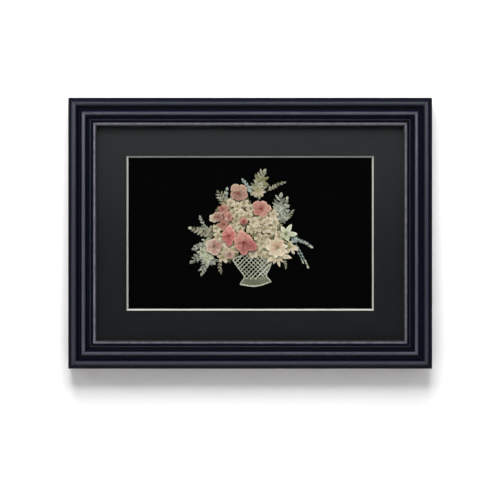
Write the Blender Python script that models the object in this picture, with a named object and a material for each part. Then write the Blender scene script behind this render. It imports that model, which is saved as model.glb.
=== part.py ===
"""Pressed flower picture: dried flowers and a lattice basket behind a mat, in a stepped black frame.

Metres, +Z up. The picture faces -Y and its back is towards the wall at +Y. The origin is the point
where a wall nail carries the sawtooth hanger. Every piece is modelled about the middle of the frame's
back plane and hangs from one empty, which moves it to that origin.
"""

import math

import bmesh
import bpy
from mathutils import Matrix, Vector

MM = 0.001
NAME = "pressed_flower_frame"

# Outer frame
OUTER_WIDTH = 400 * MM
OUTER_HEIGHT = 298 * MM
RAIL_WIDTH = 31 * MM
RAIL_DEPTH = 22 * MM
SIDE_DEPTH = 17 * MM
REBATE_WIDTH = 6 * MM
REBATE_FRONT = -12 * MM
GAP = 0.3 * MM

# Moulding face from the outer edge inwards: start and end across the rail, height of each end above
# the back plane, height of the crest, and how many steps the round is drawn with
MOULDING_ROUNDS = (
    (0.6 * MM, 11.6 * MM, SIDE_DEPTH, 18.2 * MM, RAIL_DEPTH, 10),
    (13.4 * MM, 20.8 * MM, 18.0 * MM, 16.0 * MM, 20.4 * MM, 8),
    (22.6 * MM, 26.0 * MM, 15.6 * MM, 15.0 * MM, 17.6 * MM, 6),
    (27.0 * MM, RAIL_WIDTH, 14.6 * MM, 13.8 * MM, 16.0 * MM, 6),
)

# Boards and glass in the rebate, from the front
EDGE_CLEARANCE = 1.0 * MM
GLASS_THICK = 2.0 * MM
MAT_THICK = 3.0 * MM
MOUNT_THICK = 1.5 * MM
BACKING_THICK = 2.6 * MM
WINDOW_WIDTH = 269 * MM
WINDOW_HEIGHT = 167 * MM
BEVEL_RUN = 2.2 * MM

# Framer's points that hold the backing, two to a rail
POINT_LENGTH = 12 * MM
POINT_WIDTH = 8 * MM
POINT_THICK = 0.5 * MM
POINT_BITE = 4 * MM
POINT_SPREAD = 0.28

# Sawtooth hanger on the back of the top rail
HANGER_LENGTH = 62 * MM
HANGER_HEIGHT = 11 * MM
HANGER_THICK = 0.8 * MM
HANGER_LIFT = 1.6 * MM
HANGER_DROP = 7 * MM
CREASE_INNER = 19.5 * MM
CREASE_OUTER = 22 * MM
TOOTH_COUNT = 13
TOOTH_PITCH = 2.2 * MM
TOOTH_DEPTH = 1.5 * MM
NAIL_RADIUS = 0.6 * MM
NAIL_LENGTH = 9 * MM
NAIL_HEAD_RADIUS = 1.7 * MM
NAIL_HEAD_THICK = 0.6 * MM
NAIL_HEAD_EDGE = 0.4 * MM
NAIL_CROWN = 0.6
NAIL_SPREAD = 27 * MM

# Pressed specimens
PETAL_THICK = 0.25 * MM
LAYER_PITCH = 0.55 * MM
STEM_HALF = 0.35
SMALL_LEAFLET = 5.2
SHARP_FALL = 1.15
SMALL_HEART = 5.0
MERGE_DISTANCE = 0.001 * MM

# Basket: its rim, and its two sides from rim to foot, in mm from the picture's middle, and its lattice
BASKET_RIM = ((19.0, -25.6), (4.0, -22.4), (-10.0, -24.2))
BASKET_LEFT = (
    (-20.5, -29.0), (-14.0, -38.0), (-7.8, -46.2), (-7.4, -49.6), (-10.8, -54.6), (-11.2, -57.0)
)
BASKET_RIGHT = (
    (25.0, -31.0), (21.6, -39.5), (18.6, -45.4), (19.2, -48.4), (22.8, -52.2), (23.2, -54.0)
)
BASKET_FOOT_LOW = (6.0, -59.2)
LATTICE_PITCH = 3.5
LATTICE_HOLE = 2.3
LATTICE_RIM = 0.9
LATTICE_TOP = -24.5
LATTICE_ROWS = 11

glass_front = REBATE_FRONT + GAP
mat_front = glass_front + GLASS_THICK + GAP
mount_front = mat_front + MAT_THICK + GAP
backing_front = mount_front + MOUNT_THICK + GAP
point_front = backing_front + BACKING_THICK + GAP
board_width = OUTER_WIDTH - 2 * (RAIL_WIDTH - REBATE_WIDTH + EDGE_CLEARANCE)
board_height = OUTER_HEIGHT - 2 * (RAIL_WIDTH - REBATE_WIDTH + EDGE_CLEARANCE)
hanger_bottom = OUTER_HEIGHT / 2 - HANGER_DROP - HANGER_HEIGHT
hang_point = Vector((0, GAP + HANGER_LIFT + HANGER_THICK, hanger_bottom + TOOTH_DEPTH))


def clear_scene():
    for item in list(bpy.data.objects):
        bpy.data.objects.remove(item)


clear_scene()
pieces = bpy.data.collections.new(NAME)
cutters = bpy.data.collections.new(NAME + "_cutters")
for group in (pieces, cutters):
    bpy.context.scene.collection.children.link(group)
centre = bpy.data.objects.new("frame_centre", None)
centre.location = -hang_point
pieces.objects.link(centre)


def finish(name, colour, roughness, metallic=0.0, transmission=0.0):
    """A plain Principled material."""
    material = bpy.data.materials.new(name)
    material.use_nodes = True
    shader = material.node_tree.nodes["Principled BSDF"]
    shader.inputs["Base Color"].default_value = (*colour, 1)
    shader.inputs["Roughness"].default_value = roughness
    shader.inputs["Metallic"].default_value = metallic
    shader.inputs["Transmission Weight"].default_value = transmission
    return material


def add_piece(name, data, material, location=(0, 0, 0), rotation=(0, 0, 0)):
    """Puts a mesh or curve in the part as a named piece that hangs from the frame's centre."""
    piece = bpy.data.objects.new(name, data)
    pieces.objects.link(piece)
    piece.parent = centre
    piece.location = location
    piece.rotation_euler = rotation
    data.materials.append(material)
    return piece


def add_cutter(name, mesh, location):
    cutter = bpy.data.objects.new(name, mesh)
    cutters.objects.link(cutter)
    cutter.parent = centre
    cutter.location = location
    cutter.hide_render = True
    cutter.display_type = "WIRE"
    return cutter


def cut(piece, cutter):
    modifier = piece.modifiers.new("cut_" + cutter.name, "BOOLEAN")
    modifier.operation = "DIFFERENCE"
    modifier.solver = "EXACT"
    modifier.object = cutter


def box_mesh(name, width, depth, height):
    shape = bmesh.new()
    bmesh.ops.create_cube(shape, size=1, matrix=Matrix.Diagonal((width, depth, height, 1)))
    return mesh_from(name, shape)


def rod_mesh(name, radius, length, sides):
    """A round rod along Y, centred on its own origin."""
    shape = bmesh.new()
    turn = Matrix.Rotation(math.pi / 2, 4, "X")
    bmesh.ops.create_cone(
        shape, cap_ends=True, segments=sides, radius1=radius, radius2=radius, depth=length, matrix=turn
    )
    return mesh_from(name, shape)


def mesh_from(name, shape):
    bmesh.ops.recalc_face_normals(shape, faces=shape.faces)
    mesh = bpy.data.meshes.new(name)
    shape.to_mesh(mesh)
    shape.free()
    return mesh


def flat_curve(name, outlines, thickness):
    """A filled 2D curve in its XY plane. The first outline is the edge, and any others are holes."""
    curve = bpy.data.curves.new(name, "CURVE")
    curve.dimensions = "2D"
    curve.fill_mode = "BOTH"
    curve.extrude = thickness / 2
    for outline in outlines:
        spline = curve.splines.new("POLY")
        spline.points.add(len(outline) - 1)
        for point, (x, y) in zip(spline.points, outline):
            point.co = (x, y, 0, 1)
        spline.use_cyclic_u = True
    return curve


def solid_mesh(name, outlines, thickness):
    """The extruded outline as a closed mesh, for a piece that is cut, bent or joined afterwards."""
    holder = bpy.data.objects.new(name, flat_curve(name, outlines, thickness))
    pieces.objects.link(holder)
    evaluated = holder.evaluated_get(bpy.context.evaluated_depsgraph_get())
    mesh = bpy.data.meshes.new_from_object(evaluated)
    mesh.materials.clear()
    bpy.data.objects.remove(holder)
    shape = bmesh.new()
    shape.from_mesh(mesh)
    bmesh.ops.remove_doubles(shape, verts=shape.verts, dist=MERGE_DISTANCE)
    shape.to_mesh(mesh)
    shape.free()
    return mesh


# Frame rails
def moulding_outline():
    """Section of the rail: x is the distance in from the outer edge, y the depth with the face at -Y."""
    outline = [(0, -GAP), (0, -SIDE_DEPTH)]
    for start, end, outer, inner, crest, steps in MOULDING_ROUNDS:
        for step in range(steps + 1):
            turn = math.pi * step / steps
            across = start + (end - start) * (1 - math.cos(turn)) / 2
            foot = outer + (inner - outer) * (across - start) / (end - start)
            outline.append((across, -(foot + (crest - foot) * math.sin(turn))))
    outline += [(RAIL_WIDTH, REBATE_FRONT)]
    outline += [(RAIL_WIDTH - REBATE_WIDTH, REBATE_FRONT), (RAIL_WIDTH - REBATE_WIDTH, 0), (GAP, 0)]
    return outline


def rail_mesh(name, length):
    """A stick of moulding along X with its outer edge at z = 0, both ends sawn to the mitre."""
    mesh = solid_mesh(name, [moulding_outline()], length)
    half = length / 2 - GAP / math.sqrt(2)
    for vertex in mesh.vertices:
        inward, depth, along = vertex.co
        vertex.co = (math.copysign(half - inward, along), depth, -inward)
    shape = bmesh.new()
    shape.from_mesh(mesh)
    return mesh_from(name, shape)


lacquer = finish("black_lacquer", (0.012, 0.013, 0.02), 0.25)
steel = finish("point_steel", (0.55, 0.55, 0.56), 0.4, metallic=1.0)
rail_places = (
    ("rail_top", OUTER_WIDTH, (0, 0, OUTER_HEIGHT / 2), 0),
    ("rail_right", OUTER_HEIGHT, (OUTER_WIDTH / 2, 0, 0), math.pi / 2),
    ("rail_bottom", OUTER_WIDTH, (0, 0, -OUTER_HEIGHT / 2), math.pi),
    ("rail_left", OUTER_HEIGHT, (-OUTER_WIDTH / 2, 0, 0), -math.pi / 2),
)
rails = {
    name: add_piece(name, rail_mesh(name, length), lacquer, place, (0, turn, 0))
    for name, length, place, turn in rail_places
}


# Framer's points, pressed through the rebate wall over the backing board
def point_outline():
    """A flat point: square at its bent tail, a shallow tip where it bites into the wood."""
    half, tip = POINT_WIDTH / 2, POINT_WIDTH / 4
    shoulder = POINT_LENGTH - tip
    return [(-half, 0), (half, 0), (half, shoulder), (0, POINT_LENGTH), (-half, shoulder)]


point_number = 0
for name, length, place, turn in rail_places:
    outward = Matrix.Rotation(turn, 3, "Y")
    for side in (-1, 1):
        point_number += 1
        tail = RAIL_WIDTH - REBATE_WIDTH - POINT_BITE + POINT_LENGTH
        spot = outward @ Vector((side * POINT_SPREAD * length, 0, -tail)) + Vector(place)
        spot.y = point_front + POINT_THICK / 2
        label = f"framers_point_{point_number}"
        point = add_piece(label, flat_curve(label, [point_outline()], POINT_THICK), steel, spot)
        point.rotation_euler = (outward @ Matrix.Rotation(math.pi / 2, 3, "X")).to_euler()
        slot_depth = POINT_BITE + GAP
        slot_mesh = box_mesh("slot", POINT_WIDTH + 2 * GAP, POINT_THICK + 2 * GAP, 2 * slot_depth)
        wall = RAIL_WIDTH - REBATE_WIDTH
        mouth = outward @ Vector((side * POINT_SPREAD * length, 0, -wall)) + Vector(place)
        mouth.y = spot.y
        slot = add_cutter(f"slot_{point_number}", slot_mesh, mouth)
        slot.rotation_euler = (0, turn, 0)
        cut(rails[name], slot)

# Sawtooth hanger and its two nails
hanger_top = hanger_bottom + HANGER_HEIGHT
hanger_middle = (hanger_top + hanger_bottom) / 2


def hanger_outline():
    """Plate with a row of teeth along its lower edge, about its own middle."""
    half_long, half_high = HANGER_LENGTH / 2, HANGER_HEIGHT / 2
    outline = [(-half_long, half_high), (-half_long, -half_high)]
    first = -TOOTH_COUNT * TOOTH_PITCH / 2
    for tooth in range(TOOTH_COUNT):
        left = first + tooth * TOOTH_PITCH
        outline += [(left, -half_high), (left + TOOTH_PITCH / 2, -half_high + TOOTH_DEPTH)]
    outline += [(-first, -half_high), (half_long, -half_high), (half_long, half_high)]
    return outline


def circle(x, y, radius, sides):
    turns = [2 * math.pi * side / sides for side in range(sides)]
    return [(x + radius * math.cos(turn), y + radius * math.sin(turn)) for turn in turns]


def bent_hanger_mesh():
    """The flat plate, creased at four lines so that its middle stands off the rail."""
    holes = [circle(side * NAIL_SPREAD, 0, NAIL_RADIUS + GAP, 12) for side in (-1, 1)]
    flat = solid_mesh("sawtooth_hanger", [hanger_outline(), *holes], HANGER_THICK)
    shape = bmesh.new()
    shape.from_mesh(flat)
    for crease in (-CREASE_OUTER, -CREASE_INNER, CREASE_INNER, CREASE_OUTER):
        geometry = shape.verts[:] + shape.edges[:] + shape.faces[:]
        bmesh.ops.bisect_plane(shape, geom=geometry, plane_co=(crease, 0, 0), plane_no=(1, 0, 0))
    for vertex in shape.verts:
        rise = min(1, max(0, (CREASE_OUTER - abs(vertex.co.x)) / (CREASE_OUTER - CREASE_INNER)))
        vertex.co.z -= HANGER_LIFT * rise
    return mesh_from("sawtooth_hanger", shape)


zinc = finish("zinc_plate", (0.62, 0.6, 0.55), 0.35, metallic=1.0)
upright = (math.pi / 2, 0, 0)
hanger_place = (0, GAP + HANGER_THICK / 2, hanger_middle)
add_piece("sawtooth_hanger", bent_hanger_mesh(), zinc, hanger_place, upright)
head_back = 2 * GAP + HANGER_THICK + NAIL_HEAD_THICK
for side, label in ((-1, "left"), (1, "right")):
    place = (side * NAIL_SPREAD, 0, hanger_middle)
    bore = rod_mesh("bore", NAIL_RADIUS + GAP, 2 * (NAIL_LENGTH + GAP), 12)
    cut(rails["rail_top"], add_cutter(f"nail_bore_{label}", bore, place))
    turned = bmesh.new()
    head_front = head_back - NAIL_HEAD_THICK
    profile = (
        (0, -NAIL_LENGTH), (NAIL_RADIUS, -NAIL_LENGTH + NAIL_RADIUS), (NAIL_RADIUS, head_front),
        (NAIL_HEAD_RADIUS, head_front), (NAIL_HEAD_RADIUS, head_front + NAIL_HEAD_EDGE),
        (NAIL_HEAD_RADIUS * NAIL_CROWN, head_back), (0, head_back),
    )
    corners = [turned.verts.new((radius, along, 0)) for radius, along in profile]
    edges = [turned.edges.new(pair) for pair in zip(corners, corners[1:])]
    bmesh.ops.spin(turned, geom=corners + edges, angle=2 * math.pi, steps=8, axis=(0, 1, 0), cent=(0, 0, 0))
    bmesh.ops.remove_doubles(turned, verts=turned.verts, dist=MERGE_DISTANCE)
    add_piece(f"hanger_nail_{label}", mesh_from("nail", turned), zinc, place)

# Glass and boards
glass = finish("glazing", (0.95, 0.97, 0.96), 0.02, transmission=1.0)
charcoal = finish("charcoal_mat", (0.03, 0.032, 0.034), 0.9)
black = finish("black_mount_board", (0.006, 0.006, 0.006), 0.9)
hardboard = finish("hardboard", (0.3, 0.18, 0.1), 0.8)


def board(name, thickness, front, material):
    mesh = box_mesh(name, board_width, thickness, board_height)
    return add_piece(name, mesh, material, (0, front + thickness / 2, 0))


board("glazing", GLASS_THICK, glass_front, glass)
board("mount_board", MOUNT_THICK, mount_front, black)
board("backing_board", BACKING_THICK, backing_front, hardboard)
mat = board("mat_board", MAT_THICK, mat_front, charcoal)
window = box_mesh("window", WINDOW_WIDTH, MAT_THICK * 2, WINDOW_HEIGHT)
for vertex in window.vertices:
    spread = BEVEL_RUN * (0.5 - vertex.co.y / MAT_THICK)
    vertex.co.x += math.copysign(1, vertex.co.x) * spread
    vertex.co.z += math.copysign(1, vertex.co.z) * spread
cut(mat, add_cutter("window", window, mat.location))


# Outlines of pressed pieces, in mm about their own middle or along their own stem
def bloom(petals, heart, roundness=0.6, sharpness=0.0, steps=4):
    """A flower's edge. Each petal is its direction in degrees and its length, in turning order.

    Sharpness blends the round tip of a petal with a straight-sided one.
    """
    outline = []
    for number, (turn, length) in enumerate(petals):
        before = (turn - petals[number - 1][0]) % 360 / 2
        after = (petals[(number + 1) % len(petals)][0] - turn) % 360 / 2
        for step in range(steps):
            share = -1 + 2 * step / steps
            reach = math.cos(share * math.pi / 2) ** roundness if step else 0
            reach += sharpness * ((1 - abs(share)) ** SHARP_FALL - reach)
            angle = math.radians(turn + share * (before if share < 0 else after))
            radius = heart + (length - heart) * reach
            outline.append((radius * math.cos(angle), radius * math.sin(angle)))
    return outline


def even_petals(count, length, first=90):
    return [(first + 360 * petal / count, length) for petal in range(count)]


def lens(base, angle, length, width, root):
    """One leaflet from its root on the stem: up one edge, its tip, and back."""
    along = Vector((math.cos(angle), math.sin(angle)))
    across = Vector((-along.y, along.x))
    edge = [(0.3, 0.8), (0.62, 1.0)] if length > SMALL_LEAFLET else [(0.5, 1.0)]
    spine = [base + along * length * share for share, wide in edge]
    halves = [across * (root + (width / 2 - root) * wide) for share, wide in edge]
    rising = [point - half for point, half in zip(spine, halves)]
    falling = [point + half for point, half in zip(spine, halves)]
    return rising + [base + along * length] + falling[::-1]


def spray(stem, leaflets, leaf_length, fullness, lean, taper, tip_length, stem_half=STEM_HALF):
    """A pinnate leaf: a curved stem of three points, pairs of leaflets leaning forward, one at the tip.

    Fullness is how much of the room between neighbours a leaflet's width takes.
    """
    start, bend, end = (Vector(point) for point in stem)
    run = (bend - start).length + (end - bend).length
    leaf_width = fullness * math.sin(math.radians(lean)) * run / (leaflets + 0.6)

    def on_stem(share):
        return start * (1 - share) ** 2 + bend * 2 * share * (1 - share) + end * share**2

    def heading(share):
        slope = (bend - start) * (1 - share) + (end - bend) * share
        return math.atan2(slope.y, slope.x)

    sides = {-1: [], 1: []}
    for side in sides:
        for pair in range(leaflets):
            share = (pair + 0.75 + 0.12 * side) / (leaflets + 0.6)
            size = 1 - taper * share
            angle = heading(share) + side * math.radians(lean)
            across = Vector((-math.sin(heading(share)), math.cos(heading(share)))) * side * stem_half
            root = on_stem(share) + across / 2
            leaflet = lens(root, angle, leaf_length * size, leaf_width * size, stem_half)
            if side > 0:
                leaflet.reverse()
            sides[side] += leaflet
    normal = Vector((-math.sin(heading(0)), math.cos(heading(0)))) * stem_half
    last = lens(on_stem(0.985), heading(1), tip_length, leaf_width * 0.8, stem_half)
    return [start - normal] + sides[-1] + last + sides[1][::-1] + [start + normal]


def layer_depth(layer):
    """Depth of the middle of a layer, counted from the mount board towards the glass."""
    return mount_front - GAP - PETAL_THICK / 2 - (layer - 1) * LAYER_PITCH


def press(name, outline, layer, material, middle=(0, 0), holes=()):
    """Lays one flat specimen on its layer. Outlines are in mm."""
    scaled = [[(x * MM, y * MM) for x, y in loop] for loop in (outline, *holes)]
    curve = flat_curve(name, scaled, PETAL_THICK)
    place = (middle[0] * MM, layer_depth(layer), middle[1] * MM)
    return add_piece(name, curve, material, place, upright)


def fuse(name, parts, layer, material):
    """Joins overlapping outlines of one flower head into one solid. Parts are (outline, middle)."""
    base = None
    for number, (outline, (x, z)) in enumerate(parts):
        scaled = [(u * MM, v * MM) for u, v in outline]
        mesh = solid_mesh(f"{name}_{number}", [scaled], PETAL_THICK)
        slide = Matrix.Translation((x * MM, z * MM, number % 5 * 0.012 * MM))
        mesh.transform(slide)
        if base is None:
            base = add_piece(name, mesh, material, (0, layer_depth(layer), 0), upright)
            continue
        cutter = add_cutter(f"{name}_floret_{number}", mesh, (0, layer_depth(layer), 0))
        cutter.rotation_euler = upright
        union = base.modifiers.new(f"floret_{number}", "BOOLEAN")
        union.operation = "UNION"
        union.solver = "EXACT"
        union.object = cutter
    return base


# Basket
def smooth(points, steps):
    """A rounder line through the points: a Catmull-Rom curve, its ends kept."""
    path = [Vector(point) for point in (points[0], *points, points[-1])]
    line = []
    for before, start, end, after in zip(path, path[1:], path[2:], path[3:]):
        for step in range(steps):
            share = step / steps
            bend = (end - before) * share + (2 * before - 5 * start + 4 * end - after) * share**2
            bend += (3 * start - before - 3 * end + after) * share**3
            line.append(tuple(start + bend / 2))
    return line + [tuple(path[-1])]


def basket_outline():
    foot = smooth((BASKET_LEFT[-1], BASKET_FOOT_LOW, BASKET_RIGHT[-1]), 3)
    rim = smooth((BASKET_RIGHT[0], *BASKET_RIM, BASKET_LEFT[0]), 2)
    return smooth(BASKET_LEFT, 2)[:-1] + foot + smooth(BASKET_RIGHT, 2)[-2::-1] + rim[1:-1]


def inside(point, outline):
    """Whether a point is inside a closed outline, by counting the edges to its right."""
    x, y = point
    crossings = 0
    for (x0, y0), (x1, y1) in zip(outline, outline[1:] + outline[:1]):
        if (y0 > y) != (y1 > y) and x < x0 + (y - y0) / (y1 - y0) * (x1 - x0):
            crossings += 1
    return crossings % 2 == 1


def lattice_holes(outline):
    """Square holes on their points, in rows and columns at 45 degrees, clear of the rim."""
    reach = LATTICE_HOLE / math.sqrt(2)
    step = LATTICE_PITCH / math.sqrt(2)
    middle = BASKET_FOOT_LOW[0]
    holes = []
    for row in range(LATTICE_ROWS):
        z = LATTICE_TOP - row * step
        for column in range(-LATTICE_ROWS, LATTICE_ROWS):
            x = middle + (2 * column + row % 2) * step
            diamond = [(x + reach, z), (x, z + reach), (x - reach, z), (x, z - reach)]
            rimmed = [(x + u * (reach + LATTICE_RIM), z + v * (reach + LATTICE_RIM)) for u, v in
                      ((1, 0), (0, 1), (-1, 0), (0, -1))]
            if all(inside(corner, outline) for corner in rimmed):
                holes.append(diamond)
    return holes


straw = finish("basket_strip", (0.55, 0.55, 0.45), 0.7)
edge = basket_outline()
press("basket", edge, 2, straw, holes=lattice_holes(edge))

# Flowers, each on its layer
salmon = finish("salmon_petal", (0.55, 0.25, 0.18), 0.75)
coral = finish("coral_petal", (0.6, 0.16, 0.16), 0.75)
rose = finish("rose_petal", (0.45, 0.11, 0.13), 0.75)
pink = finish("pink_petal", (0.6, 0.35, 0.3), 0.75)
peach = finish("peach_petal", (0.68, 0.45, 0.32), 0.75)
cream = finish("cream_petal", (0.62, 0.56, 0.38), 0.75)
green_cream = finish("green_cream_petal", (0.6, 0.62, 0.4), 0.75)

FLOWERS = (
    # name, petals (direction, length), heart, roundness, sharpness, layer, colour, middle
    ("flower_salmon", ((48, 11.2), (126, 11.8), (202, 9.6), (262, 8.8), (334, 10.8)),
     6.6, 0.5, 0.35, 5, salmon, (-12.6, 44.2)),
    ("flower_coral", ((2, 11.2), (70, 9.2), (146, 11.8), (212, 10.8), (294, 10.8)),
     6.0, 0.5, 0.45, 5, coral, (12.8, 27.2)),
    ("flower_rose", ((46, 10.2), (112, 14.0), (166, 11.8), (214, 11.6), (272, 15.4), (328, 16.6)),
     8.4, 0.6, 0.7, 6, rose, (-6.6, -10.2)),
    ("flower_crimson", ((22, 9.0), (82, 10.2), (150, 7.6), (214, 8.2), (278, 12.4), (335, 8.2)),
     5.0, 0.6, 0.5, 5, coral, (-23.8, -2.8)),
    ("flower_pale_pink", ((20, 9.8), (84, 9.4), (150, 10.6), (214, 9.6), (288, 10.4)),
     6.4, 0.5, 0.4, 5, pink, (-40.0, -14.8)),
    ("flower_peach", ((12, 12.6), (52, 11.4), (92, 12.4), (132, 11.8), (176, 13.4), (222, 12.0), (262, 12.2),
                      (300, 12.0), (338, 13.0)),
     7.6, 0.6, 0.8, 6, peach, (29.6, -16.2)),
    ("flower_dusty_pink", even_petals(5, 6.0), 3.6, 0.5, 0.3, 6, pink, (-22.6, -23.2)),
    ("bud_dusty_pink", even_petals(5, 4.6, first=60), 3.2, 0.5, 0.3, 6, rose, (-7.1, 13.3)),
    ("flower_cream_star",
     ((212, 14.0), (245, 10.0), (283, 12.8), (318, 10.4), (350, 17.2), (60, 7.0), (140, 7.0)),
     5.2, 1.0, 0.9, 5, cream, (29.8, -25.6)),
    ("flower_green_star", ((58, 12.8), (122, 10.4), (200, 7.8), (284, 9.4), (355, 13.4)),
     4.2, 1.0, 0.9, 5, green_cream, (39.6, -0.6)),
    ("flower_cream_side", ((100, 7.6), (175, 5.2), (250, 8.4), (300, 10.0), (343, 10.4)),
     3.8, 1.0, 0.8, 4, cream, (43.8, -15.4)),
    ("flower_white_low", ((20, 6.4), (95, 5.8), (170, 7.2), (235, 6.6), (300, 8.0)),
     3.0, 1.0, 0.8, 4, cream, (-30.0, -26.6)),
)
for name, petals, heart, roundness, sharpness, layer, colour, middle in FLOWERS:
    steps = 6 if heart > SMALL_HEART else 4
    press(name, bloom(petals, heart, roundness, sharpness, steps), layer, colour, middle)

# The left bunch of small pink florets
for number, (x, z, radius, layer, petal) in enumerate((
    (-29.2, 26.4, 6.4, 5, pink),
    (-35.8, 18.2, 6.2, 6, salmon),
    (-23.8, 18.0, 5.7, 6, coral),
    (-29.2, 9.4, 6.4, 4, pink),
    (-40.4, 16.6, 5.0, 4, cream),
)):
    outline = bloom(even_petals(5, radius, first=20 + 31 * number), heart=3.4, roundness=0.5)
    press(f"floret_left_{number + 1}", outline, layer, petal, (x, z))

# Heads of cream florets
FLORET_RADIUS = 5.5
FLORET_HEART = 3.6
CREAM_HEADS = {
    "cream_head_upper": (3, (
        (-21.6, 34.0), (-14.0, 30.0), (-6.2, 33.2), (0.6, 27.4), (-18.6, 22.6), (-9.6, 22.2), (-1.8, 18.8),
        (-15.2, 13.4), (-20.0, 5.8), (-11.2, 4.8))),
    "cream_head_middle": (4, (
        (3.6, 12.6), (11.6, 14.6), (19.6, 13.6), (27.2, 12.0), (0.6, 4.4), (8.6, 6.0), (16.8, 4.6), (25.2, 3.2),
        (31.6, -3.6), (25.8, 20.2))),
    "cream_head_lower": (3, (
        (9.0, -3.6), (17.6, -5.0), (12.2, -12.6), (20.4, -14.0), (11.4, -21.2), (19.2, -23.0), (3.4, -22.8))),
    "cream_head_left": (3, (
        (-36.6, 5.0), (-35.4, -3.2), (-31.4, -10.4), (-23.6, -13.8), (-30.8, -18.4), (-16.2, -17.6))),
}
for name, (layer, middles) in CREAM_HEADS.items():
    florets = [
        (bloom(even_petals(5, FLORET_RADIUS, first=17 * number), FLORET_HEART, 0.5, steps=3), middle)
        for number, middle in enumerate(middles)
    ]
    fuse(name, florets, layer, cream)

# Leaves and sprays, each from its stem's foot to its tip
sage = finish("sage_leaf", (0.32, 0.34, 0.24), 0.8)
grey_green = finish("grey_green_leaf", (0.42, 0.45, 0.35), 0.8)
blue_green = finish("blue_green_leaf", (0.25, 0.33, 0.3), 0.8)

SPRAYS = (
    # name, layer, colour, stem, pairs, leaflet length, fullness, lean, taper, tip length
    ("plume_top", 1, sage,
     ((9.4, 34.0), (6.4, 56.0), (14.6, 67.0)), 6, 13.4, 0.92, 36, 0.5, 5.6),
    ("spray_top_left", 2, blue_green,
     ((0.8, 42.0), (-2.0, 52.0), (-7.6, 58.2)), 4, 4.8, 0.85, 30, 0.3, 3.4),
    ("spray_top_right", 2, sage,
     ((18.6, 46.6), (26.0, 53.0), (36.6, 55.6)), 5, 5.2, 0.8, 32, 0.4, 3.6),
    ("spray_upper_left", 1, sage,
     ((-25.4, 30.0), (-29.4, 37.0), (-34.4, 44.4)), 4, 9.4, 0.9, 52, 0.45, 4.4),
    ("leaf_upper_left", 2, grey_green,
     ((-26.6, 33.0), (-27.4, 40.0), (-26.0, 47.0)), 2, 5.0, 0.8, 30, 0.2, 4.4),
    ("leaf_right", 1, grey_green,
     ((32.0, 8.0), (30.6, 24.0), (33.6, 39.4)), 6, 13.4, 0.92, 44, 0.4, 6.4),
    ("leaf_right_side", 2, grey_green,
     ((36.0, 12.4), (40.0, 20.0), (40.6, 33.0)), 4, 6.2, 0.72, 42, 0.2, 5.6),
    ("spray_right_faint", 1, sage,
     ((41.0, 14.0), (43.6, 20.0), (46.6, 24.0)), 3, 4.2, 0.8, 40, 0.3, 3.2),
    ("spray_left", 1, sage,
     ((-38.0, -3.4), (-51.0, 1.0), (-64.2, 5.0)), 6, 9.4, 0.9, 46, 0.55, 5.0),
    ("spray_left_tall", 2, grey_green,
     ((-45.0, 1.0), (-52.4, 9.0), (-54.8, 16.6)), 4, 5.4, 0.8, 32, 0.4, 3.8),
    ("leaf_cream_left", 3, green_cream,
     ((-42.6, -6.0), (-45.6, -7.6), (-49.8, -7.4)), 2, 3.2, 0.55, 46, 0.3, 4.4),
    ("spray_low_left_1", 1, grey_green,
     ((-42.0, -15.0), (-53.0, -11.6), (-61.4, -16.4)), 5, 7.4, 0.8, 45, 0.4, 4.2),
    ("spray_low_left_2", 2, grey_green,
     ((-38.0, -19.0), (-53.0, -21.6), (-63.4, -30.6)), 6, 10.0, 0.85, 46, 0.5, 5.0),
    ("spray_low_left_3", 3, grey_green,
     ((-42.0, -23.0), (-49.2, -29.6), (-53.0, -43.4)), 6, 9.4, 0.76, 44, 0.45, 5.0),
    ("spray_low_left_4", 2, sage,
     ((-33.4, -26.0), (-34.4, -36.0), (-32.6, -42.6)), 4, 4.4, 0.8, 42, 0.3, 3.2),
    ("sprig_right_1", 2, blue_green,
     ((42.0, -3.4), (56.0, -7.0), (66.8, -14.6)), 6, 5.0, 0.8, 28, 0.3, 3.6),
    ("sprig_right_2", 1, blue_green,
     ((50.6, -12.0), (56.6, -22.0), (63.2, -35.8)), 6, 4.6, 0.8, 26, 0.2, 3.8),
    ("sprig_right_3", 2, blue_green,
     ((49.8, -16.0), (54.6, -23.0), (57.8, -31.0)), 4, 4.2, 0.8, 26, 0.2, 3.0),
    ("sprig_right_low", 1, sage,
     ((37.4, -28.0), (39.6, -33.0), (39.4, -37.2)), 3, 3.2, 0.8, 38, 0.2, 2.8),
)
for name, layer, colour, stem, pairs, leaf_length, fullness, lean, taper, tip_length in SPRAYS:
    press(name, spray(stem, pairs, leaf_length, fullness, lean, taper, tip_length), layer, colour)

for piece in pieces.objects:
    if piece.type == "MESH" and piece.name.startswith(("rail", "hanger", "sawtooth")):
        piece.data.shade_smooth()
        piece.data.set_sharp_from_angle(angle=math.radians(30))
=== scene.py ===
# %% [markdown]
# # A picture of pressed flowers, dressed for its portrait
#
# The real object hangs on a wall: a black moulding with a pewter lip, a sheet of glass, a charcoal mat with a
# pale bevel, and behind it a bouquet of dried flowers in a lattice basket, pressed flat on black board.
# The solids were modelled first and are loaded here as a fixed frame. Each piece below either gives one of
# those solids a better finish, or takes its place with a finer mesh of the same form. Lengths are written in
# millimetres about the middle of the frame, because that is how the picture was measured.

# %% Load the fixed frame
import random
from math import atan2, cos, exp, pi, radians, sin, sqrt

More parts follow.
